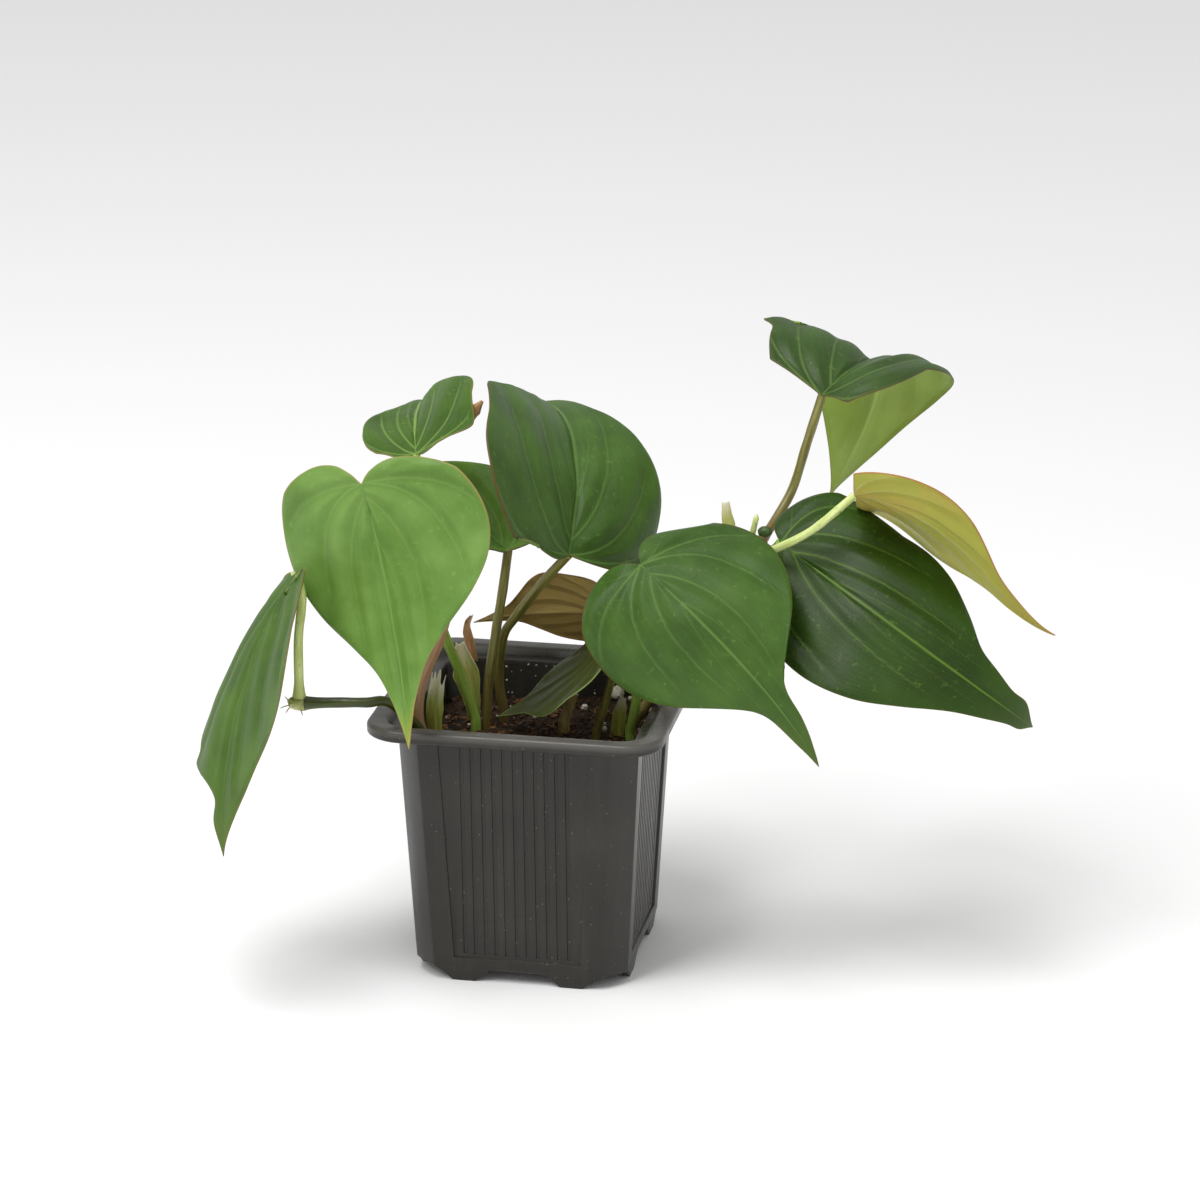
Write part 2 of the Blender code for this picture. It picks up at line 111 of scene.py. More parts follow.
def as_object(name, bm, smooth_angle=35):
    bmesh.ops.recalc_face_normals(bm, faces=bm.faces)
    mesh = bpy.data.meshes.new(name)
    bm.to_mesh(mesh)
    bm.free()
    mesh.shade_smooth()
    mesh.set_sharp_from_angle(angle=math.radians(smooth_angle))
    obj = bpy.data.objects.new(name, mesh)
    bpy.context.scene.collection.objects.link(obj)
    return obj


def panel_tool(bm, side, low, high, half_low, half_high, proud, deep, round_foot=0.0):
    """A block lying on a side wall; its lower corners can be rounded."""
    verts = bmesh.ops.create_cube(bm, size=2)["verts"]
    for vert in verts:
        half = half_high if vert.co.z > 0 else half_low
        x = half[1] if vert.co.x > 0 else half[0]
        vert.co = (x, -proud if vert.co.y < 0 else deep, high if vert.co.z > 0 else low)
    faces = {face for vert in verts for face in vert.link_faces}
    if round_foot:
        feet = {e for f in faces for e in f.edges
                if all(v.co.z == low for v in e.verts) and e.verts[0].co.x == e.verts[1].co.x}
        cut = bmesh.ops.bevel(bm, geom=list(feet), offset=round_foot, segments=7, profile=0.5,
                              affect="EDGES", material=-1)
        verts = list({v for f in cut["faces"] for v in f.verts} | {v for v in verts if v.is_valid})
    turn = Matrix.Rotation(side * math.pi / 2, 3, "Z")
    for vert in verts:
        spot = turn @ Vector((vert.co.x, vert.co.y - wall_half(vert.co.z), vert.co.z))
        vert.co = pot_place(spot.x, spot.y, spot.z)


def rim_profile():
    """Half widths and heights round the rolled rim, from under it to the inside."""
    roll = 0.0011
    outer = RIM_HALF - roll
    yield RIM_HALF - 0.0022, 0.0088, RIM_UNDER + 0.0001
    for degrees in range(-80, 91, 17):
        lift = math.sin(math.radians(degrees))
        reach = math.cos(math.radians(degrees))
        middle = RIM_UNDER + roll if degrees < 0 else RIM_TOP - roll
        yield outer + roll * reach, 0.0100 - 0.0006 * max(0, lift), middle + roll * lift
    yield RIM_HALF - 0.0030, 0.0080, RIM_TOP - 0.00015
    yield RIM_HALF - 0.0044, 0.0074, RIM_TOP - 0.0002
    yield RIM_HALF - 0.0052, 0.0068, RIM_TOP - 0.0008
    yield RIM_HALF - 0.0058, 0.0064, RIM_TOP - 0.0022
    yield RIM_HALF - 0.0064, 0.0062, RIM_TOP - 0.0028


rings = [square_ring(wall_half(FOOT_HEIGHT) - 0.0006, 0.0062, FOOT_HEIGHT, 0.15),
         square_ring(wall_half(FOOT_HEIGHT + 0.0006), 0.0064, FOOT_HEIGHT + 0.0006, 0.15),
         square_ring(wall_half(RIM_UNDER - 0.001), 0.0066, RIM_UNDER - 0.001, 0.2)]
rings += [square_ring(half, corner, z) for half, corner, z in rim_profile()]
rings += [square_ring(WALL_TOP_HALF - POT_WALL, 0.0058, RIM_TOP - 0.0031, 0.4),
          square_ring(WALL_TOP_HALF - POT_WALL - 0.0003, 0.0056, RIM_TOP - 0.0040, 0.2),
          square_ring(wall_half(0.0046) - POT_WALL, 0.0056, FOOT_HEIGHT + POT_WALL, 0.2)]
shell_bm = bmesh.new()
draw_wall(shell_bm, rings)
pot_shell = as_object("pot_shell", shell_bm)

panel_bm = bmesh.new()
groove_bm = bmesh.new()
hole_bm = bmesh.new()
for side in range(4):
    panel_tool(panel_bm, side, PANEL_LOW, RIM_UNDER - 0.0014, (-0.0174, 0.0174), (-0.0205, 0.0205),
               0.002, 0.0007, round_foot=0.0035)
    for index in range(GROOVES):
        x = (index - GROOVES // 2) * GROOVE_PITCH
        sides = (x - GROOVE_HALF, x + GROOVE_HALF)
        panel_tool(groove_bm, side, PANEL_LOW + 0.001, RIM_UNDER - 0.0018, sides, sides, 0.002, GROOVE_DEPTH)
for x in (-HOLE_PLACE, HOLE_PLACE):
    for y in (-HOLE_PLACE, HOLE_PLACE):
        bmesh.ops.create_cone(hole_bm, cap_ends=True, segments=28, radius1=HOLE_RADIUS, radius2=HOLE_RADIUS,
                              depth=0.01, matrix=Matrix.Translation(pot_place(x, y, FOOT_HEIGHT)))
tools = [as_object("tool", bm) for bm in (panel_bm, groove_bm, hole_bm)]
for tool in tools:
    pot_shell.modifiers.new("cut", "BOOLEAN").object = tool
soften = pot_shell.modifiers.new("moulded_edges", "BEVEL")
soften.width = 0.00022
soften.segments = 2
soften.limit_method = "ANGLE"
soften.angle_limit = math.radians(32)
soften.use_clamp_overlap = True
graph = bpy.context.evaluated_depsgraph_get()
cut_mesh = bpy.data.meshes.new_from_object(pot_shell.evaluated_get(graph))
pot_shell.modifiers.clear()
pot_shell.data = cut_mesh
cut_mesh.name = "pot_shell"
cut_mesh.shade_smooth()
cut_mesh.set_sharp_from_angle(angle=math.radians(38))
for tool in tools:
    bpy.data.objects.remove(tool, do_unlink=True)

feet_bm = bmesh.new()
for side in range(4):
    for middle in (-FOOT_PLACE, FOOT_PLACE):
        panel_tool(feet_bm, side, 0, FOOT_HEIGHT + 0.0008, (middle - 0.003, middle + 0.003),
                   (middle - 0.0078, middle + 0.0078), -0.00006, 0.0022)
bmesh.ops.bevel(feet_bm, geom=feet_bm.edges[:], offset=0.0002, segments=2, profile=0.5,
                affect="EDGES", material=-1)
pot_feet = as_object("pot_feet", feet_bm)


def paint(red, green, blue):
    """A colour as seen on a screen, 0 to 255, for a shader's socket."""
    shares = (red / 255, green / 255, blue / 255)
    return (*(s / 12.92 if s <= 0.04045 else ((s + 0.055) / 1.055) ** 2.4 for s in shares), 1)


def new_skin(name, roughness, **sockets):
    skin = bpy.data.materials.new(name)
    skin.use_nodes = True
    shader = skin.node_tree.nodes["Principled BSDF"]
    shader.inputs["Roughness"].default_value = roughness
    for socket, value in sockets.items():
        shader.inputs[socket.replace("_", " ")].default_value = value
    return skin, skin.node_tree, shader


def texture(tree, kind, coordinates, scale, **settings):
    """A Noise or Voronoi texture fed by Object coordinates or by another node's socket."""
    node = tree.nodes.new("ShaderNodeTex" + kind)
    node.inputs["Scale"].default_value = scale
    for socket, value in settings.items():
        node.inputs[socket].default_value = value
    if coordinates == "Object":
        coordinates = tree.nodes.new("ShaderNodeTexCoord").outputs["Object"]
    tree.links.new(coordinates, node.inputs["Vector"])
    return node.outputs[0]


def stretched(tree, source, scale):
    mapping = tree.nodes.new("ShaderNodeMapping")
    mapping.inputs["Scale"].default_value = scale
    if source == "Object":
        source = tree.nodes.new("ShaderNodeTexCoord").outputs["Object"]
    tree.links.new(source, mapping.inputs["Vector"])
    return mapping.outputs["Vector"]


def spread(tree, value, low, high, to_low=0.0, to_high=1.0):
    """Maps a value's range to another, clamped."""
    node = tree.nodes.new("ShaderNodeMapRange")
    for socket, number in zip(("From Min", "From Max", "To Min", "To Max"), (low, high, to_low, to_high)):
        node.inputs[socket].default_value = number
    tree.links.new(value, node.inputs["Value"])
    return node.outputs["Result"]


def blend_paint(tree, share, under, over):
    """Mixes two colours, each a socket or a fixed paint, by a share."""
    node = tree.nodes.new("ShaderNodeMix")
    node.data_type = "RGBA"
    for socket, value in ((node.inputs[0], share), (node.inputs[6], under), (node.inputs[7], over)):
        if isinstance(value, bpy.types.NodeSocket):
            tree.links.new(value, socket)
        else:
            socket.default_value = value
    return node.outputs[2]


def relief(tree, shader, height, distance, strength=1.0, after=None):
    node = tree.nodes.new("ShaderNodeBump")
    node.inputs["Distance"].default_value = distance
    node.inputs["Strength"].default_value = strength
    tree.links.new(height, node.inputs["Height"])
    if after is not None:
        tree.links.new(after, node.inputs["Normal"])
    tree.links.new(node.outputs["Normal"], shader.inputs["Normal"])
    return node.outputs["Normal"]


pot_skin, tree, shader = new_skin("pot_moulded_plastic", 0.34, Specular_IOR_Level=0.34)
clouds = texture(tree, "Noise", "Object", 45, Detail=5)
streaks = texture(tree, "Noise", stretched(tree, "Object", (260, 260, 18)), 1, Detail=4)
grain = texture(tree, "Noise", "Object", 2600, Detail=3)
dust = texture(tree, "Voronoi", "Object", 420)
body = blend_paint(tree, spread(tree, clouds, 0.35, 0.7), paint(38, 36, 32), paint(50, 46, 41))
body = blend_paint(tree, spread(tree, streaks, 0.5, 0.8, 0, 0.4), body, paint(66, 63, 58))
body = blend_paint(tree, spread(tree, dust, 0.10, 0.06, 0, 0.5), body, paint(128, 120, 106))
# Painted highlight: the rolled rim is lightened towards pale grey by height, standing in for the light its
# top catches.
place = tree.nodes.new("ShaderNodeSeparateXYZ")
tree.links.new(tree.nodes.new("ShaderNodeTexCoord").outputs["Object"], place.inputs[0])
rim_painted_highlight = spread(tree, place.outputs["Z"], RIM_UNDER + 0.0012, RIM_TOP - 0.0008, 0, 0.6)
body = blend_paint(tree, rim_painted_highlight, body, paint(104, 101, 96))
tree.links.new(body, shader.inputs["Base Color"])
tree.links.new(spread(tree, streaks, 0.3, 0.75, 0.24, 0.42), shader.inputs["Roughness"])
first = relief(tree, shader, grain, 0.00005, 0.4)
relief(tree, shader, streaks, 0.00005, 0.2, after=first)
for piece in (pot_shell, pot_feet):
    piece.data.materials.clear()
    piece.data.materials.append(pot_skin)
    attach(piece, "root")
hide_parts("pot")


# Soil: dark peat with bark crumbs, poured in to 13 mm under the rim and settled in
# lumps. White grains of perlite lie on it and cling to the wall above it.
SOIL_DEPTH = 0.013
SOIL_TOP = RIM_TOP - SOIL_DEPTH
SOIL_HALF = 0.0306
SOIL_CORNER = 1.8
lumps = random.Random(11)
noise.seed_set(11)


def soil_place(x, y, above):
    """A place in mm from the middle of the soil's top."""
    return pot_place(x * MM, y * MM, SOIL_TOP + above * MM)


def rim_place(x, y, above):
    """A place in mm from the middle of the rim's left edge."""
    return pot_place(x * MM - RIM_HALF, y * MM, RIM_TOP + above * MM)


def ground(x, y):
    """The soil's height at a place, in metres, x and y from the pot's middle."""
    spot = Vector((x, y, 0))
    clod = noise.fractal(spot * 130, 0.9, 2.1, 4) * 0.0011
    crumb = noise.fractal(spot * 700 + Vector((5, 1, 0)), 0.8, 2.2, 3) * 0.00035
    edge = max(abs(x), abs(y)) / SOIL_HALF
    bank = 0.0028 * math.exp(-((x - 0.018) ** 2 + (y - 0.031) ** 2) / 0.010 ** 2)
    return SOIL_TOP + clod + crumb + bank - 0.0006 * edge ** 6


bed_bm = bmesh.new()
bmesh.ops.create_grid(bed_bm, x_segments=130, y_segments=130, size=1)
rim_edges = [edge for edge in bed_bm.edges if edge.is_boundary]
skirt = bmesh.ops.extrude_edge_only(bed_bm, edges=rim_edges)["geom"]
skirt = {item for item in skirt if isinstance(item, bmesh.types.BMVert)}
for vert in bed_bm.verts:
    x, y = vert.co.x, vert.co.y
    reach = max(abs(x), abs(y), 1e-6)
    trim = min(1, SOIL_CORNER * reach / (abs(x) + abs(y) + 1e-6))
    half = SOIL_HALF * trim
    z = SOIL_TOP - 0.012 if vert in skirt else ground(x * half, y * half)
    if vert in skirt:
        half *= 0.975
    vert.co = pot_place(x * half, y * half, z)
bmesh.ops.holes_fill(bed_bm, edges=[edge for edge in bed_bm.edges if edge.is_boundary])
soil_bed = as_object("soil_bed", bed_bm, 60)

bark_bm = bmesh.new()
for _ in range(650):
    x, y = lumps.uniform(-0.029, 0.029), lumps.uniform(-0.029, 0.029)
    if abs(x) + abs(y) > 0.053:
        continue
    size = Vector((lumps.uniform(0.5, 2.4), lumps.uniform(0.3, 0.9), lumps.uniform(0.2, 0.7))) * MM
    place = Matrix.Translation(pot_place(x, y, ground(x, y) + 0.0002))
    tilt = Matrix.Rotation(lumps.uniform(0, 6.3), 4, "Z") @ Matrix.Rotation(lumps.uniform(-0.6, 0.6), 4, "Y")
    made = bmesh.ops.create_cube(bark_bm, size=1, matrix=place @ tilt @ Matrix.Diagonal((*size, 1)))
    for vert in made["verts"]:
        vert.co += noise.random_vector() * 0.00018
soil_bark = as_object("soil_bark", bark_bm, 40)

grain_bm = bmesh.new()
spots = [(16.5, 27.5, 2.1), (3, 27.5, 1.2), (-7, 28, 1.0), (9, 21, 0.9), (-20, 14, 1.1), (27.5, 22, 1.0)]
for _ in range(46):
    spots.append((lumps.uniform(-29, 29), lumps.uniform(-20, 29), lumps.uniform(0.25, 0.75)))
for x, y, size in spots:
    if abs(x) + abs(y) > 54:
        continue
    place = pot_place(x * MM, y * MM, ground(x * MM, y * MM) + size * 0.55 * MM)
    made = bmesh.ops.create_icosphere(grain_bm, subdivisions=2, radius=size * MM,
                                      matrix=Matrix.Translation(place))
    for vert in made["verts"]:
        vert.co += noise.noise_vector(vert.co * 1500) * size * 0.35 * MM
for _ in range(150):
    side = lumps.choice((0, 0, 0, 1, 3))
    z = RIM_TOP - 0.0040 - lumps.uniform(0, 1) ** 1.5 * 0.009
    inner = wall_half(z) - POT_WALL
    spot = Matrix.Rotation(side * math.pi / 2, 3, "Z") @ Vector((lumps.uniform(-16, 22) * MM, inner, 0))
    size = lumps.uniform(0.12, 0.5) * MM
    made = bmesh.ops.create_icosphere(grain_bm, subdivisions=1, radius=size,
                                      matrix=Matrix.Translation(pot_place(spot.x, spot.y, z)))
    for vert in made["verts"]:
        vert.co += noise.noise_vector(vert.co * 3000) * size * 0.5
perlite_grains = as_object("perlite_grains", grain_bm, 50)

soil_skin, tree, shader = new_skin("soil_peat", 0.92, Specular_IOR_Level=0.25)
fibre = texture(tree, "Noise", "Object", 380, Detail=6)
crumbs = texture(tree, "Voronoi", "Object", 900)
earth = blend_paint(tree, spread(tree, fibre, 0.35, 0.7), paint(22, 15, 11), paint(74, 54, 36))
earth = blend_paint(tree, spread(tree, crumbs, 0.16, 0.08, 0, 0.45), earth, paint(120, 92, 60))
tree.links.new(earth, shader.inputs["Base Color"])
relief(tree, shader, crumbs, 0.0004, 0.6)

bark_skin, tree, shader = new_skin("soil_bark_crumb", 0.85)
fibre = texture(tree, "Noise", stretched(tree, "Object", (900, 300, 300)), 1, Detail=4)
tint = texture(tree, "Noise", "Object", 120, Detail=1)
earth = blend_paint(tree, spread(tree, fibre, 0.3, 0.7), paint(38, 24, 16), paint(108, 74, 44))
earth = blend_paint(tree, spread(tree, tint, 0.5, 0.68, 0, 0.8), earth, paint(150, 104, 62))
tree.links.new(earth, shader.inputs["Base Color"])
relief(tree, shader, fibre, 0.0002, 0.5)

perlite_skin, tree, shader = new_skin("perlite_grain", 0.9)
pores = texture(tree, "Voronoi", "Object", 2200)
stain = texture(tree, "Noise", "Object", 500, Detail=3)
white = blend_paint(tree, spread(tree, pores, 0.0, 0.25), paint(168, 158, 140), paint(236, 231, 220))
white = blend_paint(tree, spread(tree, stain, 0.55, 0.75, 0, 0.7), white, paint(150, 128, 98))
tree.links.new(white, shader.inputs["Base Color"])
relief(tree, shader, pores, 0.0002, 0.6)
for piece, skin, finish in ((soil_bed, soil_skin, "soil"), (soil_bark, bark_skin, "soil"),
                            (perlite_grains, perlite_skin, "perlite")):
    piece.data.materials.append(skin)
    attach(piece, "root")
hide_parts("soil")
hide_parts(*(f"perlite_{number}" for number in range(1, 7)))


# Stalks: petioles and vine stems are juicy round rods, a little flattened and
# grooved, swollen where they meet a leaf or a joint. Each runs from its socket in
# the soil, or from its joint on the vine, to the base of its leaf.
def smooth_path(points, step=0.0012):
    chain = [2 * points[0] - points[1], *points, 2 * points[-1] - points[-2]]
    path = []
    for before, start, end, after in zip(chain, chain[1:], chain[2:], chain[3:]):
        count = max(2, round((end - start).length / step))
        for t in (index / count for index in range(count)):
            path.append(0.5 * (2 * start + (end - before) * t
                               + (2 * before - 5 * start + 4 * end - after) * t * t
                               + (3 * start - before - 3 * end + after) * t ** 3))
    path.append(points[-1])
    return path


def stalk_skin(name, main, shade, blush, blush_to):
    """A striped juicy skin; blush tints it from its root to a share of its length."""
    skin, tree, shader = new_skin(name, 0.36, Specular_IOR_Level=0.5, Subsurface_Weight=0.08,
                                  Subsurface_Scale=0.002)
    skin_map = tree.nodes.new("ShaderNodeUVMap")
    skin_map.uv_map = "skin"
    long_map = stretched(tree, skin_map.outputs[0], (8, 0.35, 1))
    stripe = texture(tree, "Noise", long_map, 1, Detail=4)
    speck = texture(tree, "Noise", "Object", 900, Detail=3)
    colour = blend_paint(tree, spread(tree, stripe, 0.36, 0.64), shade, main)
    split = tree.nodes.new("ShaderNodeSeparateXYZ")
    tree.links.new(skin_map.outputs[0], split.inputs[0])
    colour = blend_paint(tree, spread(tree, split.outputs[1], 0, blush_to * 10), blush, colour)
    dots = spread(tree, speck, 0.62, 0.72, 0, 0.35)
    colour = blend_paint(tree, dots, colour, paint(96, 60, 34))
    tree.links.new(colour, shader.inputs["Base Color"])
    tree.links.new(spread(tree, speck, 0.3, 0.7, 0.28, 0.46), shader.inputs["Roughness"])
    relief(tree, shader, stripe, 0.0003, 0.35)
    return skin


def stalk(name, node, points, radius, skin, ends=(1.15, 1.2), flat=0.0, sides=20):
    """A rod through points, for a node of the frame: ends swell it, flat presses a groove in it."""
    path = smooth_path(points)
    bm = bmesh.new()
    bmesh.ops.create_grid(bm, x_segments=len(path) - 1, y_segments=sides, size=1)
    up = Vector((0.2, -1, 0.1))
    frames = []
    for index, place in enumerate(path):
        ahead = (path[min(index + 1, len(path) - 1)] - path[max(index - 1, 0)]).normalized()
        side = ahead.cross(up).normalized()
        up = side.cross(ahead)
        frames.append((place, side, up.copy()))
    uv = bm.loops.layers.uv.new("skin")
    for face in bm.faces:
        for loop in face.loops:
            loop[uv].uv = ((loop.vert.co.y + 1) / 2, (loop.vert.co.x + 1) * 5)
    for vert in bm.verts:
        share = (vert.co.x + 1) / 2
        place, side, up = frames[round(share * (len(path) - 1))]
        angle = vert.co.y * math.pi
        swell = 1 + (ends[0] - 1) * math.exp(-share * 14) + (ends[1] - 1) * math.exp(-(1 - share) * 16)
        wobble = 1 + 0.03 * math.sin(share * 23 + 2 * math.sin(share * 9))
        size = radius * swell * wobble * (1 - flat * math.exp(-(math.cos(angle / 2) / 0.35) ** 2))
        vert.co = place + (side * math.sin(angle) + up * math.cos(angle)) * size
    bmesh.ops.remove_doubles(bm, verts=bm.verts, dist=0.000005)
    bmesh.ops.holes_fill(bm, edges=[edge for edge in bm.edges if edge.is_boundary])
    rod = as_object(name, bm, 70)
    rod.data.materials.append(skin)
    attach(rod, "root")
    if node:
        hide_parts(node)


def rooted(x, y, points):
    return [soil_place(x, y, -6), soil_place(x, y, 0), soil_place(x, y, 3), *points]


GREEN_STALK = stalk_skin("stalk_olive", paint(136, 134, 66), paint(98, 90, 40),
                         paint(116, 88, 52), 0.4)
TAN_STALK = stalk_skin("stalk_tan", paint(200, 160, 122), paint(166, 126, 86),
                         paint(132, 128, 66), 0.12)
FRESH_STALK = stalk_skin("stalk_fresh", paint(178, 208, 98), paint(128, 166, 60),
                         paint(122, 142, 58), 0.12)
PALE_STALK = stalk_skin("stalk_pale", paint(220, 232, 158), paint(184, 200, 112),
                         paint(178, 190, 110), 0.2)
VINE_STALK = stalk_skin("vine_green", paint(72, 84, 16), paint(46, 58, 10),
                         paint(84, 76, 30), 0.5)
BROWN_VINE = stalk_skin("vine_brown", paint(186, 166, 108), paint(150, 128, 74),
                         paint(150, 140, 76), 0.3)

stalk("vine_left_stem", "vine_left", rooted(-25, -23.5, [
    soil_place(-26.5, -25, 8), rim_place(6, -29, 4), rim_place(0, -31, 4.4),
    rim_place(-7, -32, 4.3), rim_place(-16.4, -33, 3.9)]), 0.00135, VINE_STALK, (1.1, 1.5))
stalk("petiole_low_left_rod", "petiole_low_left", [
    rim_place(-17.9, -33, 5.6), rim_place(-17.6, -33.5, 21.8), rim_place(-16.6, -32.8, 33),
    rim_place(-18.5, -32, 40.2)], 0.00125, PALE_STALK, (1.5, 1.1), flat=0.2)
stalk("petiole_front_rod", "petiole_front", rooted(-27, -19.5, [
    soil_place(-29, -20, 10), soil_place(-28, -19.5, 20), soil_place(-22.8, -18, 34),
    soil_place(-19, -17, 54), soil_place(-25, -20, 72), soil_place(-36, -29, 79),
    soil_place(-38.8, -33.7, 79)]), 0.0019, TAN_STALK, (1.4, 0.5), flat=0.25)
stalk("petiole_top_left_rod", "petiole_top_left", rooted(-17.2, 0, [
    soil_place(-18, 0, 6), soil_place(-21, -2, 17), soil_place(-25.5, -6, 33),
    soil_place(-29.5, -10, 56), soil_place(-32.5, -1.8, 77.9)]), 0.0013, FRESH_STALK,
    (1.3, 0.9), flat=0.2)
stalk("petiole_behind_rod", "petiole_behind", rooted(-14.7, 2, [
    soil_place(-13.9, 2.5, 15), soil_place(-12.4, 4, 27), soil_place(-11.2, 8, 38),
    soil_place(-10.7, 13, 47.9)]), 0.0013, GREEN_STALK, (1.25, 1.0), flat=0.2)
stalk("petiole_upright_rod", "petiole_upright", rooted(-11.4, 9, [
    soil_place(-12.6, 9, 12), soil_place(-11.2, 8, 24.5), soil_place(-7.1, 6, 31.5),
    soil_place(2.4, 0, 44.6), soil_place(9.3, -4, 53)]), 0.0013, GREEN_STALK,
    (1.25, 1.0), flat=0.2)
stalk("petiole_tan_rod", "petiole_tan", rooted(24.5, 10.5, [
    soil_place(26.5, 9, 16), soil_place(25, 7.4, 28), soil_place(17.4, 7.9, 33.5)]), 0.00115,
    GREEN_STALK)
stalk("petiole_dark_rod", "petiole_dark", rooted(17, -4, [
    soil_place(20, -5, 14), soil_place(22, -5.2, 23), soil_place(19.8, -4.9, 28.6)]), 0.00115,
    GREEN_STALK)
stalk("petiole_front_right_rod", "petiole_front_right", rooted(25.4, 0.6, [
    soil_place(27.5, -1.5, 13), soil_place(27, -3, 28), soil_place(29, -8, 45),
    soil_place(31.6, -18, 54.6), soil_place(32.2, -21.2, 56.4)]), 0.0013, FRESH_STALK,
    (1.2, 0.7), flat=0.2)
stalk("vine_right_stem", "vine_right", rooted(25.4, 5.4, [
    soil_place(29.8, 4.5, 10), soil_place(38, 4, 26), soil_place(47, 4, 41),
    soil_place(56.6, 4, 54.8)]), 0.0014, BROWN_VINE, (1.2, 1.3))
stalk("petiole_right_rod", "petiole_right", [
    soil_place(59.6, 5.6, 54.4), soil_place(62.8, 6.3, 54.6), soil_place(65.2, 3.8, 57.2)], 0.0011,
    FRESH_STALK)
stalk("petiole_top_right_rod", "petiole_top_right", [
    soil_place(59.4, 6.6, 56), soil_place(62.5, 16, 60.5), soil_place(66, 21.5, 67.5),
    soil_place(69.2, 22.5, 79), soil_place(72.6, 27.2, 91.7)], 0.00125, GREEN_STALK,
    (1.4, 1.0), flat=0.15)
stalk("petiole_young_rod", "petiole_young", [
    soil_place(60, 2.8, 56.6), soil_place(63, -1.5, 56.8), soil_place(66.6, -3.5, 58.6),
    soil_place(75.4, -5, 64.4), soil_place(85.6, -2, 73.3)], 0.00108, PALE_STALK,
    (1.3, 1.0), flat=0.2)
stalk("stub_rod", "stub", rooted(6.5, 4, [soil_place(7.4, 5, 6), soil_place(8.6, 6, 10.4)]),
      0.0015, BROWN_VINE, (1.2, 1.1))


# Leaves: eleven heart-shaped blades, thin and leathery. Each is one sheet bent along
# its midrib, its halves folded up or down, with sunk veins that arch from the base
# to the tip and a thin coloured margin.
HALF_HEART = np.array([
    (0, 0), (-0.045, 0.10), (-0.085, 0.28), (-0.085, 0.50), (-0.03, 0.76), (0.07, 0.93),
    (0.20, 1.0), (0.33, 0.94), (0.46, 0.75), (0.58, 0.48), (0.69, 0.25), (0.80, 0.125),
    (0.90, 0.055), (1, 0)])
# A side vein's start on the midrib, its end on the outline, the pull between them as
# shares of length and half width, and its strength
SIDE_VEINS = ((0.0, 0.20, 0.0, 0.30, 0.5), (0.0, 0.44, -0.02, 0.74, 1.0), (0.0, 0.64, 0.06, 0.68, 1.0),
              (0.05, 0.77, 0.25, 0.46, 0.9), (0.20, 0.88, 0.45, 0.23, 0.55))
VEIN_POINTS = 90
VEIN_WIDTH_MM = 0.42
VALLEY_WIDTH_MM = 2.6
QUILT_MM = 0.45
BLADE_THICKNESS = 0.00034


def heart_edge(share):
    points = np.vstack([2 * HALF_HEART[0] - HALF_HEART[1], HALF_HEART,
                        2 * HALF_HEART[-1] - HALF_HEART[-2]])
    place = share * (len(HALF_HEART) - 1)
    index = np.minimum(place.astype(int), len(HALF_HEART) - 2)
    t = (place - index)[:, None]
    before, start, end, after = (points[index + k] for k in range(4))
    return 0.5 * (2 * start + (end - before) * t
                  + (2 * before - 5 * start + 4 * end - after) * t ** 2
                  + (3 * start - before - 3 * end + after) * t ** 3)


def bends(u, droop, tip_droop, twist, sway, lobe_droop):
    """The blade's own axes at shares u of the way along its midrib."""
    down = np.radians(np.where(u >= 0, droop * u + tip_droop * u ** 4, lobe_droop * u / 0.1))
    left = np.radians(np.where(u >= 0, -sway * u * u, 0))
    roll = np.radians(np.where(u >= 0, twist * u, 0))
    one, nil = np.ones_like(u), np.zeros_like(u)

    def turn(rows):
        return np.stack([np.stack(row, -1) for row in rows], -2)
    about_y = turn([[np.cos(down), nil, np.sin(down)], [nil, one, nil],
                    [-np.sin(down), nil, np.cos(down)]])
    about_z = turn([[np.cos(left), -np.sin(left), nil], [np.sin(left), np.cos(left), nil],
                    [nil, nil, one]])
    about_x = turn([[one, nil, nil], [nil, np.cos(roll), -np.sin(roll)],
                    [nil, np.sin(roll), np.cos(roll)]])
    return about_y @ about_z @ about_x


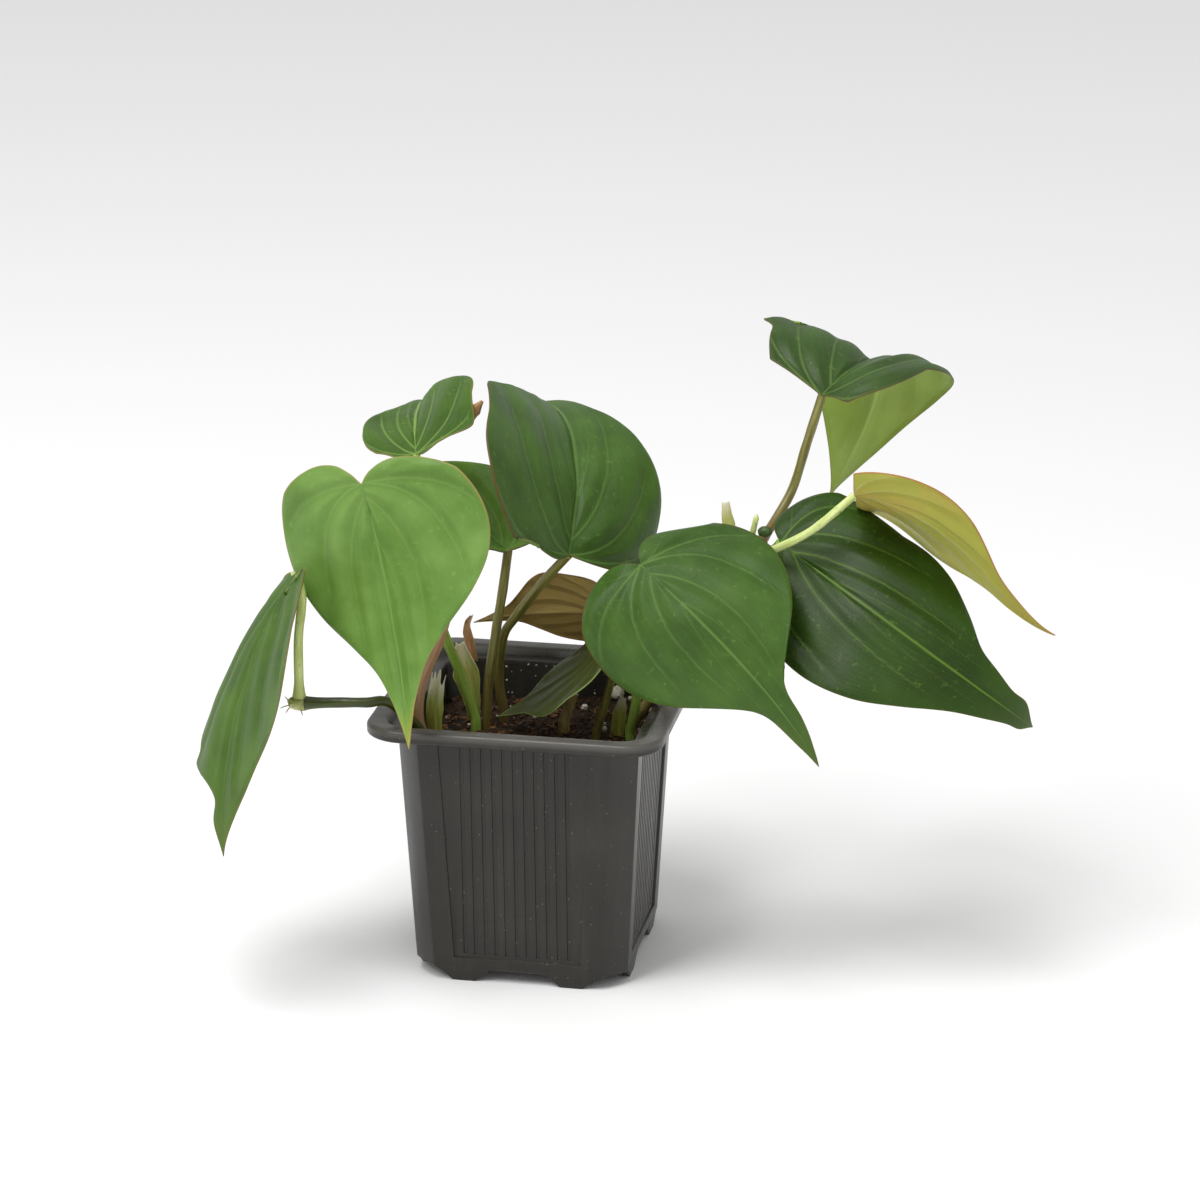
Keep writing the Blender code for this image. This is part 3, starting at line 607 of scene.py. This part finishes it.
def blade_surface(base, heading, pitch, roll, length, widths, droop=0, tip_droop=0, twist=0,
                  sway=0, fold=(0, 0), curl=(0, 0), lobes=(1, 1), lobe_droop=0, taper=0,
                  bulges=()):
    """Returns the bent sheet and the flat one, as functions of along (0 to 1) and across.

    Across runs from -1 at the right margin to 1 at the left. A bulge is a half (0 left,
    1 right), its place and breadth along the blade, and the share it adds to the width.
    """
    h, p = math.radians(heading), math.radians(pitch)
    forward = Vector((math.cos(h) * math.cos(p), math.sin(h) * math.cos(p), math.sin(p)))
    normal = Vector((-math.cos(h) * math.sin(p), -math.sin(h) * math.sin(p), math.cos(p)))
    normal = Matrix.Rotation(math.radians(roll), 3, forward) @ normal
    axes = np.array([forward, forward.cross(normal), normal])
    shape = (droop, tip_droop, twist, sway, lobe_droop)
    steps = np.linspace(-0.3, 1, 66)
    ahead = bends((steps[1:] + steps[:-1]) / 2, *shape)[:, :, 0] * np.diff(steps)[:, None]
    midrib = np.vstack([np.zeros(3), np.cumsum(ahead, axis=0)]) * length * MM
    midrib -= midrib[15]

    def flat(along, across):
        edge = heart_edge(np.clip(along, 0, 1))
        right = (across < 0).astype(int)
        out = np.abs(across)
        u, v = edge[:, 0], edge[:, 1]
        late = np.clip((u - 0.25) / 0.75, 0, 1)
        v = v + taper * 4 * late * (1 - late) * (1 - late ** 3)
        for half, where, breadth, amount in bulges:
            v = v * (1 + np.where(right == half, amount * np.exp(-((along - where) / breadth) ** 2), 0))
        u = np.where(u < 0, u * np.array(lobes)[right], u)
        u = along * (1 - out) + u * out
        return u, v * out, right

    def surface(along, across):
        u, v, right = flat(along, across)
        start = np.radians(np.array(fold))[right]
        bow = np.radians(np.array(curl))[right] + 1e-6
        width = np.array(widths)[right] / 2 * MM
        reach = (np.sin(start + bow * v) - np.sin(start)) / bow * width * np.where(right, 1, -1)
        lift = (np.cos(start) - np.cos(start + bow * v)) / bow * width
        rib = np.stack([np.interp(u, steps, midrib[:, k]) for k in range(3)], -1)
        local = np.stack([np.zeros_like(reach), reach, lift], -1)
        local = rib + np.einsum("nij,nj->ni", bends(u, *shape), local)
        return np.array(base) + local @ axes

    def sheet(along, across):
        u, v, right = flat(along, across)
        return np.stack([u * length, v * np.array(widths)[right] / 2], -1)
    return surface, sheet


def add_attribute(mesh, name, values):
    layer = mesh.attributes.new(name, "FLOAT", "POINT")
    layer.data.foreach_set("value", values.astype(np.float32))


def blade(node, skins, shape, seed, vein_depth=0.9, ripple=0.4):
    """Cuts a fine sheet to the surface, presses its veins in and gives it thickness."""
    name = node + "_blade"
    surface, sheet = shape
    bm = bmesh.new()
    bmesh.ops.create_grid(bm, x_segments=170, y_segments=124, size=1)
    mesh = bpy.data.meshes.new(name)
    bm.to_mesh(mesh)
    bm.free()
    grid = np.empty(len(mesh.vertices) * 3)
    mesh.vertices.foreach_get("co", grid)
    grid = grid.reshape(-1, 3)
    along, across = (grid[:, 0] + 1) / 2, grid[:, 1]
    out = np.abs(across)
    place = surface(along, across)
    inner = np.clip(along, 0.012, 0.988)
    ahead = surface(inner + 0.004, across) - surface(inner - 0.004, across)
    left, right = np.clip(across + 0.01, -1, 1), np.clip(across - 0.01, -1, 1)
    sideways = surface(inner, left) - surface(inner, right)
    spacing_mm = np.linalg.norm(sideways, axis=1) / np.maximum(left - right, 1e-6) / MM
    normal = np.cross(ahead, sideways)
    normal /= np.linalg.norm(normal, axis=1)[:, None] + 1e-12

    ribs = out * spacing_mm
    midrib = np.exp(-(ribs / (0.7 * (1.2 - along))) ** 2)
    vein = midrib.copy()
    pillow = 1 - np.exp(-(ribs / 3.0) ** 2)
    laid = sheet(along, across)
    t = np.linspace(0, 1, VEIN_POINTS)[:, None]
    for side in (1.0, -1.0):
        half = np.flatnonzero(across * side >= 0)
        full = sheet(np.array([0.46]), np.array([side]))[0, 1]
        tip_end = sheet(np.array([1.0]), np.array([0.0]))[0, 0]
        for number, (start, end, pull_u, pull_v, strength) in enumerate(SIDE_VEINS):
            shift = 0.02 * math.sin(seed * 3 + number * 2 + side)
            root = np.array([start * tip_end, 0])
            pull = np.array([(pull_u + shift) * tip_end, pull_v * full])
            foot = sheet(np.array([end + shift]), np.array([side]))[0]
            line = (1 - t) ** 2 * root + 2 * t * (1 - t) * pull + t ** 2 * foot
            gaps = np.linalg.norm(laid[half][:, None] - line[None], axis=2)
            apart, run = gaps.min(axis=1), gaps.argmin(axis=1) / (VEIN_POINTS - 1)
            fade = strength * np.clip((1.02 - run) * 5, 0, 1)
            line_share = np.exp(-(apart / VEIN_WIDTH_MM) ** 2) * fade * (0.85 - 0.35 * run)
            vein[half] = np.maximum(vein[half], line_share)
            pillow[half] = np.minimum(pillow[half], 1 - fade * np.exp(-(apart / VALLEY_WIDTH_MM) ** 2))
    # How deep each point lies in a vein's valley; the skin paints shade there.
    valley_shade = 1 - pillow
    fine = 0.5 + 0.5 * np.sin(2 * math.pi * (out * 15 + 2.2 * along + 0.6 * np.sin(along * 17 + seed)))
    margin = np.exp(-((1 - out) * spacing_mm / 0.42))
    wave = ripple * MM * out ** 4 * np.sin(2 * math.pi * (3.4 * along + 0.35 * np.sign(across)) + seed * 2)
    wave *= np.clip(along * 5, 0, 1) * np.clip((1 - along) * 4, 0, 1)
    calm = np.clip((1 - out) * spacing_mm / 2.5, 0, 1) * np.clip(spacing_mm / 14, 0, 1)
    lumps_in = np.array([noise.noise(Vector(point) * 90 + Vector((seed, 0, 0))) for point in place])
    puff = vein_depth * MM * (pillow - 0.5) + QUILT_MM * MM * lumps_in
    place = place + normal * (wave + puff * calm)[:, None]

    mesh.vertices.foreach_set("co", place.ravel())
    for attribute, values in (("vein", vein), ("margin", margin), ("along", along),
                              ("valley_shade", valley_shade), ("fine", fine)):
        add_attribute(mesh, attribute, values)
    bm = bmesh.new()
    bm.from_mesh(mesh)
    bmesh.ops.remove_doubles(bm, verts=bm.verts, dist=0.00002)
    bmesh.ops.dissolve_degenerate(bm, dist=0.00001, edges=bm.edges)
    bm.to_mesh(mesh)
    bm.free()
    mesh.shade_smooth()
    leaf = bpy.data.objects.new(name, mesh)
    bpy.context.scene.collection.objects.link(leaf)
    for skin in skins:
        mesh.materials.append(skin)
    skin_depth = leaf.modifiers.new("thickness", "SOLIDIFY")
    skin_depth.thickness = BLADE_THICKNESS
    skin_depth.offset = 0
    skin_depth.material_offset = 1
    skin_depth.material_offset_rim = 2
    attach(leaf, "root")
    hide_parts(node)


def leaf_face(name, main, deep, vein, margin, tip, tip_from=0.75, gloss=0.45, vein_share=0.6,
              margin_share=0.7, patch=None, patch_share=0.0):
    """One face of a blade: mottled green, painted shade in the vein valleys, pale veins, a thin margin and
    its tip's own tint.
    """
    skin, tree, shader = new_skin(name, gloss, Specular_IOR_Level=0.26, Subsurface_Weight=0.06,
                                  Subsurface_Scale=0.0015)

    def drawn(attribute):
        node = tree.nodes.new("ShaderNodeAttribute")
        node.attribute_name = attribute
        return node.outputs["Fac"]
    clouds = texture(tree, "Noise", "Object", 75, Detail=3)
    cells = texture(tree, "Voronoi", "Object", 1500)
    flecks = texture(tree, "Noise", "Object", 650, Detail=4)
    colour = blend_paint(tree, spread(tree, clouds, 0.3, 0.7), deep, main)
    # Painted shade: the vein valleys are darkened towards the deep green.
    colour = blend_paint(tree, spread(tree, drawn("valley_shade"), 0.2, 1.0, 0, 0.4), colour, deep)
    colour = blend_paint(tree, spread(tree, drawn("fine"), 0.75, 1.0, 0, 0.05), colour, vein)
    if patch is not None:
        blot = texture(tree, "Noise", "Object", 38, Detail=2)
        colour = blend_paint(tree, spread(tree, blot, 0.45, 0.65, 0, patch_share), colour, patch)
    colour = blend_paint(tree, spread(tree, drawn("vein"), 0.15, 0.9, 0, vein_share), colour, vein)
    colour = blend_paint(tree, spread(tree, flecks, 0.62, 0.74, 0, 0.25), colour, vein)
    colour = blend_paint(tree, spread(tree, drawn("along"), tip_from, 1.0, 0, 0.85), colour, tip)
    colour = blend_paint(tree, spread(tree, drawn("margin"), 0.25, 0.95, 0, margin_share), colour, margin)
    tree.links.new(colour, shader.inputs["Base Color"])
    tree.links.new(spread(tree, clouds, 0.3, 0.7, gloss - 0.05, gloss + 0.08), shader.inputs["Roughness"])
    first = relief(tree, shader, cells, 0.00012, 0.25)
    relief(tree, shader, drawn("vein"), 0.00035, 0.5, after=first)
    return skin


def leaf_skins(name, *colours, **settings):
    """The skins of a blade's top, underside and cut edge."""
    main, deep, vein, margin, tip, under_main, under_vein = (paint(*colour) for colour in colours)
    top = leaf_face(name + "_top", main, deep, vein, margin, tip, **settings)
    under_deep = (*(0.8 * share for share in under_main[:3]), 1)
    shared = {key: settings[key] for key in ("patch", "patch_share", "tip_from") if key in settings}
    under = leaf_face(name + "_under", under_main, under_deep, under_vein, margin, tip, gloss=0.5,
                      vein_share=0.7, **shared)
    rim = leaf_face(name + "_edge", margin, margin, margin, margin, margin)
    return top, under, rim


BRIGHT = leaf_skins("leaf_bright", (115, 151, 72), (88, 125, 48), (144, 180, 98), (168, 140, 84),
                    (160, 176, 74), (132, 150, 80), (176, 186, 120), vein_share=0.3, tip_from=0.85)
MIDDLE = leaf_skins("leaf_middle", (72, 108, 26), (50, 80, 13), (150, 184, 92), (132, 124, 60),
                    (128, 84, 50), (120, 142, 66), (170, 184, 124), tip_from=0.88, vein_share=0.6)
SHADED = leaf_skins("leaf_shaded", (78, 110, 36), (54, 84, 20), (110, 142, 68), (116, 104, 54),
                    (84, 108, 40), (112, 132, 66), (150, 164, 98), vein_share=0.3)
DEEP = leaf_skins("leaf_deep", (70, 104, 36), (50, 79, 22), (116, 154, 74), (108, 70, 42),
                  (78, 104, 36), (112, 136, 68), (156, 176, 102), vein_share=0.5)
OLIVE = leaf_skins("leaf_olive", (64, 74, 4), (46, 54, 3), (90, 104, 26), (134, 152, 84),
                   (84, 92, 34), (96, 112, 40), (120, 128, 60), vein_share=0.3, margin_share=1.0)
TAN = leaf_skins("leaf_tan_skin", (170, 154, 88), (146, 128, 64), (188, 170, 112), (130, 98, 54),
                 (184, 160, 112), (176, 152, 88), (188, 168, 108), vein_share=0.3)
RIGHT = leaf_skins("leaf_right_skin", (44, 73, 10), (33, 56, 6), (110, 150, 50), (104, 92, 40),
                   (64, 92, 28), (104, 128, 56), (150, 172, 94), vein_share=0.6)
CUPPED = leaf_skins("leaf_cupped", (60, 90, 33), (44, 68, 22), (122, 156, 76), (96, 84, 44),
                    (130, 150, 70), (150, 176, 78), (170, 194, 104), vein_share=0.5)
YOUNG = leaf_skins("leaf_young_skin", (196, 196, 92), (168, 166, 66), (214, 212, 124), (170, 118, 60),
                   (140, 134, 42), (206, 210, 100), (222, 222, 146),
                   patch=paint(214, 150, 92), patch_share=0.5, vein_share=0.45, tip_from=0.1)
BEHIND = leaf_skins("leaf_behind_skin", (108, 152, 52), (76, 112, 34), (128, 164, 76), (96, 70, 40),
                    (84, 92, 34), (112, 132, 62), (140, 156, 84), vein_share=0.4)

blade("leaf_low_left", SHADED, blade_surface(
    rim_place(-18.5, -32, 40.2), -121, -43, 22, 79, (63, 64), droop=37, tip_droop=6, twist=21,
    sway=-3, fold=(4, -7), curl=(27, -40), lobes=(0.05, 0), lobe_droop=8, taper=0.34,
    bulges=((0, 0.28, 0.17, -0.8), (1, 0.775, 0.022, 0.35), (1, 0.86, 0.05, -0.6))),
    seed=1.0, ripple=0.2)
blade("leaf_front", BRIGHT, blade_surface(
    soil_place(-39.5, -34.5, 79), -2, -75, 102, 71.5, (65, 60), droop=-30, tip_droop=-9,
    twist=-9, sway=11, fold=(-8, 1), curl=(-2, -13), lobe_droop=42), seed=2.0, vein_depth=1.2)
blade("leaf_top_left", MIDDLE, blade_surface(
    soil_place(-32.5, -1.5, 78), 107, 17, -25, 53, (28, 46), droop=32, tip_droop=14, twist=17,
    sway=-3, fold=(31, 16), curl=(-8, -22), lobe_droop=-38, taper=0.07,
    bulges=((0, 0.30, 0.06, -0.1), (1, 0.45, 0.12, -0.17))), seed=3.0)
blade("leaf_behind", BEHIND, blade_surface(
    soil_place(-10.7, 13, 47.8), 141, 20, -7, 60, (47, 38), tip_droop=47, twist=4, sway=-2,
    fold=(30, 23), curl=(-6, -8), lobes=(0.5, 0.5), lobe_droop=-9, taper=0.06), seed=4.0)
blade("leaf_upright", DEEP, blade_surface(
    soil_place(9.3, -4, 53), 68, 66, 52, 79, (78, 58), droop=118, tip_droop=-34, twist=35,
    sway=-7, fold=(39, 10), curl=(-8, -60), lobes=(0.7, 0.15), lobe_droop=-49, taper=0.04,
    bulges=((0, 0.26, 0.10, -0.3), (0, 0.54, 0.05, -0.07), (0, 0.62, 0.025, 0.05))),
    seed=5.0, ripple=0.25)
blade("leaf_tan", TAN, blade_surface(
    soil_place(17.3, 8, 33.5), 156, -7, 58, 42.5, (31, 29), droop=17, tip_droop=2, twist=-6,
    sway=-4, fold=(8, 11), curl=(-19, -9), lobe_droop=8), seed=6.0)
blade("leaf_dark", OLIVE, blade_surface(
    soil_place(19.7, -4.9, 28.6), 168, -44, -22, 42, (35, 25), droop=-8, tip_droop=-6, twist=1,
    sway=-12, fold=(5, 5), curl=(-1, -16), lobes=(1, 0.1), lobe_droop=8, taper=0.17), seed=7.0)
blade("leaf_front_right", DEEP, blade_surface(
    soil_place(32.3, -22, 57.2), -32, -26, 45, 74, (63, 59), droop=51, tip_droop=12, twist=-35,
    sway=-9, fold=(-18, 1), curl=(-27, -38), lobes=(1.5, 1.3), lobe_droop=31,
    bulges=((0, 0.76, 0.09, -0.45), (1, 0.80, 0.08, -0.3))), seed=8.0)
blade("leaf_right", RIGHT, blade_surface(
    soil_place(65.2, 3.7, 57.3), -35, -18, 52, 94, (49, 50), droop=38, tip_droop=70, twist=7,
    sway=4, fold=(-4, 8), curl=(-42, -6), lobes=(1.2, 0.3), lobe_droop=40, taper=0.18,
    bulges=((0, 0.28, 0.12, 0.13), (0, 0.76, 0.04, -0.1), (0, 0.93, 0.045, 1.0), (1, 0.94, 0.03, 0.5))),
    seed=9.0)
blade("leaf_top_right", CUPPED, blade_surface(
    soil_place(72.6, 27.3, 91.7), 49, 36, 34, 82, (52, 40), droop=190, tip_droop=7, twist=13,
    sway=-14, fold=(12, 55), curl=(-32, -60), lobes=(0, 0), lobe_droop=8, taper=0.45,
    bulges=((0, 0.30, 0.08, -0.2), (0, 0.465, 0.022, 0.2), (0, 0.56, 0.05, -0.2),
            (1, 0.31, 0.08, -0.38))), seed=10.0, ripple=0.1)
blade("leaf_young", YOUNG, blade_surface(
    soil_place(85.6, -2, 73.4), 2, -5, -26, 66, (48, 41), droop=82, tip_droop=-65, twist=27,
    sway=-8, curl=(0, 20), lobes=(0, 0), lobe_droop=6), seed=11.0, vein_depth=0.7)


# Joints and buds: the vines swell where a leaf starts. The left joint carries a
# papery collar and a few root hairs, and the right one a round bud and a spike.
def bud_skin(name, main, shade, speck):
    skin, tree, shader = new_skin(name, 0.5, Subsurface_Weight=0.08, Subsurface_Scale=0.002)
    clouds = texture(tree, "Noise", "Object", 260, Detail=4)
    dots = texture(tree, "Voronoi", "Object", 700)
    colour = blend_paint(tree, spread(tree, clouds, 0.35, 0.65), shade, main)
    colour = blend_paint(tree, spread(tree, dots, 0.16, 0.08, 0, 0.7), colour, speck)
    tree.links.new(colour, shader.inputs["Base Color"])
    relief(tree, shader, clouds, 0.0004, 0.5)
    return skin


def swelling(name, node, centre, radii, skin, bumpy=0.12):
    bm = bmesh.new()
    bmesh.ops.create_icosphere(bm, subdivisions=5, radius=1)
    for vert in bm.verts:
        lump = 1 + bumpy * noise.fractal(vert.co * 1.7 + Vector(radii), 0.9, 2.0, 3)
        vert.co = centre + Vector(c * r * lump * MM for c, r in zip(vert.co, radii))
    bud = as_object(name, bm, 80)
    bud.data.materials.append(skin)
    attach(bud, "root")
    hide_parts(node)


COLLAR = bud_skin("joint_cream", paint(196, 200, 140), paint(150, 156, 84), paint(64, 48, 30))
BUD_GREEN = bud_skin("bud_green", paint(70, 96, 44), paint(46, 66, 28), paint(120, 96, 60))
swelling("node_left_joint", "node_left", rim_place(-17.8, -33, 3.8), (3.3, 2.0, 2.1), COLLAR)
swelling("node_right_joint", "node_right", soil_place(57.5, 4, 55.5), (2.6, 2.4, 2.6), COLLAR)
swelling("bud_right_dome", "bud_right", soil_place(61.2, 3, 60.4), (1.9, 1.6, 1.5), BUD_GREEN,
         bumpy=0.05)
stalk("spike_right_tip", "spike_right", [
    soil_place(57.4, 3.4, 57.6), soil_place(58.2, 2.8, 61), soil_place(59.2, 2.4, 65.4)], 0.0008,
    PALE_STALK, (1.6, 0.1))
ROOT_HAIRS = ((-3.2, -1.2, -0.6, -2.4, -0.8), (-2.0, -1.6, 0.9, -2.0, 1.6),
              (0.5, -1.4, -1.6, 0.8, -1.6), (-2.8, 0.4, -1.4, -1.6, -2.0))
for number, (x, y, z, dx, dz) in enumerate(ROOT_HAIRS):
    start = rim_place(-17.8 + x * 0.8, -33 + y * 0.8, 3.8 + z * 0.8)
    stalk(f"root_hair_{number}", None, [start, start + Vector((dx * 0.5, -0.4, dz * 0.3)) * MM,
                                        start + Vector((dx, -0.6, dz)) * MM], 0.00016, BROWN_VINE,
          (1.4, 0.4), sides=8)


# Sheaths: papery bracts that wrapped a young leaf and stayed when it opened. They
# are thin curved strips with torn ends, pale and specked or dried brown. The dead
# tip of the top left leaf is such a strip too.
def sheath_skin(name, main, shade, edge, speck):
    skin, tree, shader = new_skin(name, 0.62, Subsurface_Weight=0.1, Subsurface_Scale=0.002)
    skin_map = tree.nodes.new("ShaderNodeUVMap")
    skin_map.uv_map = "skin"
    long_map = stretched(tree, skin_map.outputs[0], (26, 1.5, 1))
    veins = texture(tree, "Noise", long_map, 1, Detail=3)
    dots = texture(tree, "Voronoi", "Object", 620)
    split = tree.nodes.new("ShaderNodeSeparateXYZ")
    tree.links.new(skin_map.outputs[0], split.inputs[0])
    colour = blend_paint(tree, spread(tree, veins, 0.35, 0.65), shade, main)
    colour = blend_paint(tree, spread(tree, split.outputs[1], 0.65, 1.0), colour, edge)
    colour = blend_paint(tree, spread(tree, dots, 0.14, 0.07, 0, 0.8), colour, speck)
    tree.links.new(colour, shader.inputs["Base Color"])
    relief(tree, shader, veins, 0.0003, 0.6)
    return skin


def sheath(name, node, points, half_widths, wrap, facing, skin, ragged=0.06, seed=0):
    """A strip along points, wrapped by so many degrees round its own length."""
    path = smooth_path(points, 0.0006)
    bm = bmesh.new()
    bmesh.ops.create_grid(bm, x_segments=60, y_segments=28, size=1)
    uv = bm.loops.layers.uv.new("skin")
    for face in bm.faces:
        for loop in face.loops:
            loop[uv].uv = ((loop.vert.co.y + 1) / 2, (loop.vert.co.x + 1) / 2)
    facing = Vector(facing).normalized()
    for vert in bm.verts:
        along, side = (vert.co.x + 1) / 2, vert.co.y
        torn = ragged * noise.fractal(Vector((side * 2.2, seed, 0)), 1.0, 2.1, 3)
        place = min(max(along * (1 - ragged + torn), 0), 0.9999) * (len(path) - 1)
        index = int(place)
        middle = path[index].lerp(path[index + 1], place - index)
        ahead = (path[index + 1] - path[index]).normalized()
        across = ahead.cross(facing).normalized()
        outward = across.cross(ahead).normalized()
        half = np.interp(along * (len(half_widths) - 1), range(len(half_widths)), half_widths) * MM
        half *= 1 + 0.12 * noise.noise(Vector((along * 6, seed, side)))
        radius = half / math.sin(math.radians(min(wrap, 175) / 2))
        angle = side * math.radians(wrap / 2)
        crease = 0.00025 * noise.noise(Vector((along * 4, side * 3, seed + 3)))
        depth = radius * (1 - math.cos(angle)) + crease
        vert.co = middle + across * radius * math.sin(angle) - outward * depth
    strip = as_object(name, bm, 80)
    strip.data.materials.append(skin)
    skin_depth = strip.modifiers.new("thickness", "SOLIDIFY")
    skin_depth.thickness = 0.00022
    skin_depth.offset = 0
    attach(strip, "root")
    if node:
        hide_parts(node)


CREAM = sheath_skin("sheath_cream", paint(214, 218, 136), paint(170, 180, 86),
                    paint(232, 224, 196), paint(86, 66, 44))
PALE_GREEN = sheath_skin("sheath_green", paint(184, 198, 98), paint(146, 162, 66),
                         paint(224, 220, 196), paint(46, 36, 24))
DRIED = sheath_skin("sheath_dried", paint(204, 166, 120), paint(160, 120, 78),
                    paint(196, 164, 132), paint(84, 54, 32))
sheath("sheath_ragged_strip", "sheath_ragged", [
    soil_place(-24.6, -16.8, -1), soil_place(-25.4, -16.8, 11), soil_place(-23.6, -15.6, 24.5)],
    (1.9, 2.9, 2.3), 70, (-0.5, -1, 0), PALE_GREEN, ragged=0.16, seed=1)
sheath("sheath_top_left_wings", "sheath_top_left", [
    soil_place(-17.6, 2.2, 1), soil_place(-19, 1.8, 12), soil_place(-20.4, 1.4, 19),
    soil_place(-21.8, 1, 26)], (1.0, 2.4, 3.6, 1.2), 150, (-0.1, 1, 0), CREAM, seed=2)
sheath("sheath_dry_tip_curl", "sheath_dry_tip", [
    soil_place(-17.8, 2, 19.5), soil_place(-18.8, 2, 25.2), soil_place(-19.6, 2, 29.8),
    soil_place(-18.2, 2, 33)], (1.2, 1.6, 1.2, 0.3), 150, (0.3, 1, 0), DRIED, seed=3)
sheath("leaf_top_left_dry_tip", None, [
    soil_place(-16.2, 7.2, 91.2), soil_place(-18.4, 7.4, 88.4), soil_place(-21, 7.4, 85.4),
    soil_place(-23.8, 7.2, 82.6)], (0.3, 1.6, 1.5, 0.3), 110, (0.3, -1, 0.4), DRIED,
    ragged=0.03, seed=6)
sheath("sheath_right_strip", "sheath_right", [
    soil_place(53.6, 2.4, 55.6), soil_place(51.6, 2, 63), soil_place(50.8, 2, 69)],
    (1.5, 1.7, 0.9), 130, (0.4, -1, 0), CREAM, seed=4)
sheath("sheath_shoot_roll", "sheath_shoot", [
    soil_place(20.6, 3.2, -1), soil_place(21.6, 2.4, 6), soil_place(23.4, 1.0, 12.5)],
    (2.0, 2.1, 0.8), 150, (-0.3, -1, 0), PALE_GREEN, seed=5)


# Stage: a plain white floor under soft studio light, seen from the front and a
# little from the right and above.
floor_bm = bmesh.new()
bmesh.ops.create_grid(floor_bm, x_segments=1, y_segments=1, size=4)
floor = as_object("studio_floor", floor_bm)
floor_skin, tree, shader = new_skin("studio_white", 0.8, Specular_IOR_Level=0.1)
shader.inputs["Base Color"].default_value = (0.97, 0.97, 0.97, 1)
floor.data.materials.append(floor_skin)

world = bpy.data.worlds.new("studio")
bpy.context.scene.world = world
world.use_nodes = True
world.node_tree.nodes["Background"].inputs["Color"].default_value = (1, 1, 1, 1)
world.node_tree.nodes["Background"].inputs["Strength"].default_value = 0.66
bpy.context.scene.view_settings.view_transform = "Standard"


def softbox(name, place, size, power):
    lamp = bpy.data.lights.new(name, "AREA")
    lamp.shape = "RECTANGLE"
    lamp.size, lamp.size_y = size
    lamp.energy = power
    obj = bpy.data.objects.new(name, lamp)
    bpy.context.scene.collection.objects.link(obj)
    obj.location = place
    aim = Vector((0, 0, 0.1)) - obj.location
    obj.rotation_euler = aim.to_track_quat("-Z", "Y").to_euler()


softbox("key", Vector((-0.6, -0.8, 1.25)), (0.6, 0.6), 8.6)
softbox("top", Vector((-0.2, -0.35, 1.35)), (0.45, 0.45), 6.2)

VIEW_TURN = math.radians(10.76)
VIEW_LIFT = math.radians(18.19)
VIEW_DISTANCE = 1.1284
back = Vector((math.sin(VIEW_TURN) * math.cos(VIEW_LIFT), -math.cos(VIEW_TURN) * math.cos(VIEW_LIFT),
               math.sin(VIEW_LIFT)))
right = Vector((math.cos(VIEW_TURN), math.sin(VIEW_TURN), 0))
lens = bpy.data.cameras.new("camera")
lens.sensor_width = 36
lens.lens = 125.75
lens.clip_end = 20
camera = bpy.data.objects.new("camera", lens)
bpy.context.scene.collection.objects.link(camera)
camera.matrix_world = Matrix.Translation(pot_place(0.0166, 0.0032, 0.1) + back * VIEW_DISTANCE) @ Matrix(
    (right, back.cross(right), back)).transposed().to_4x4()
bpy.context.scene.camera = camera
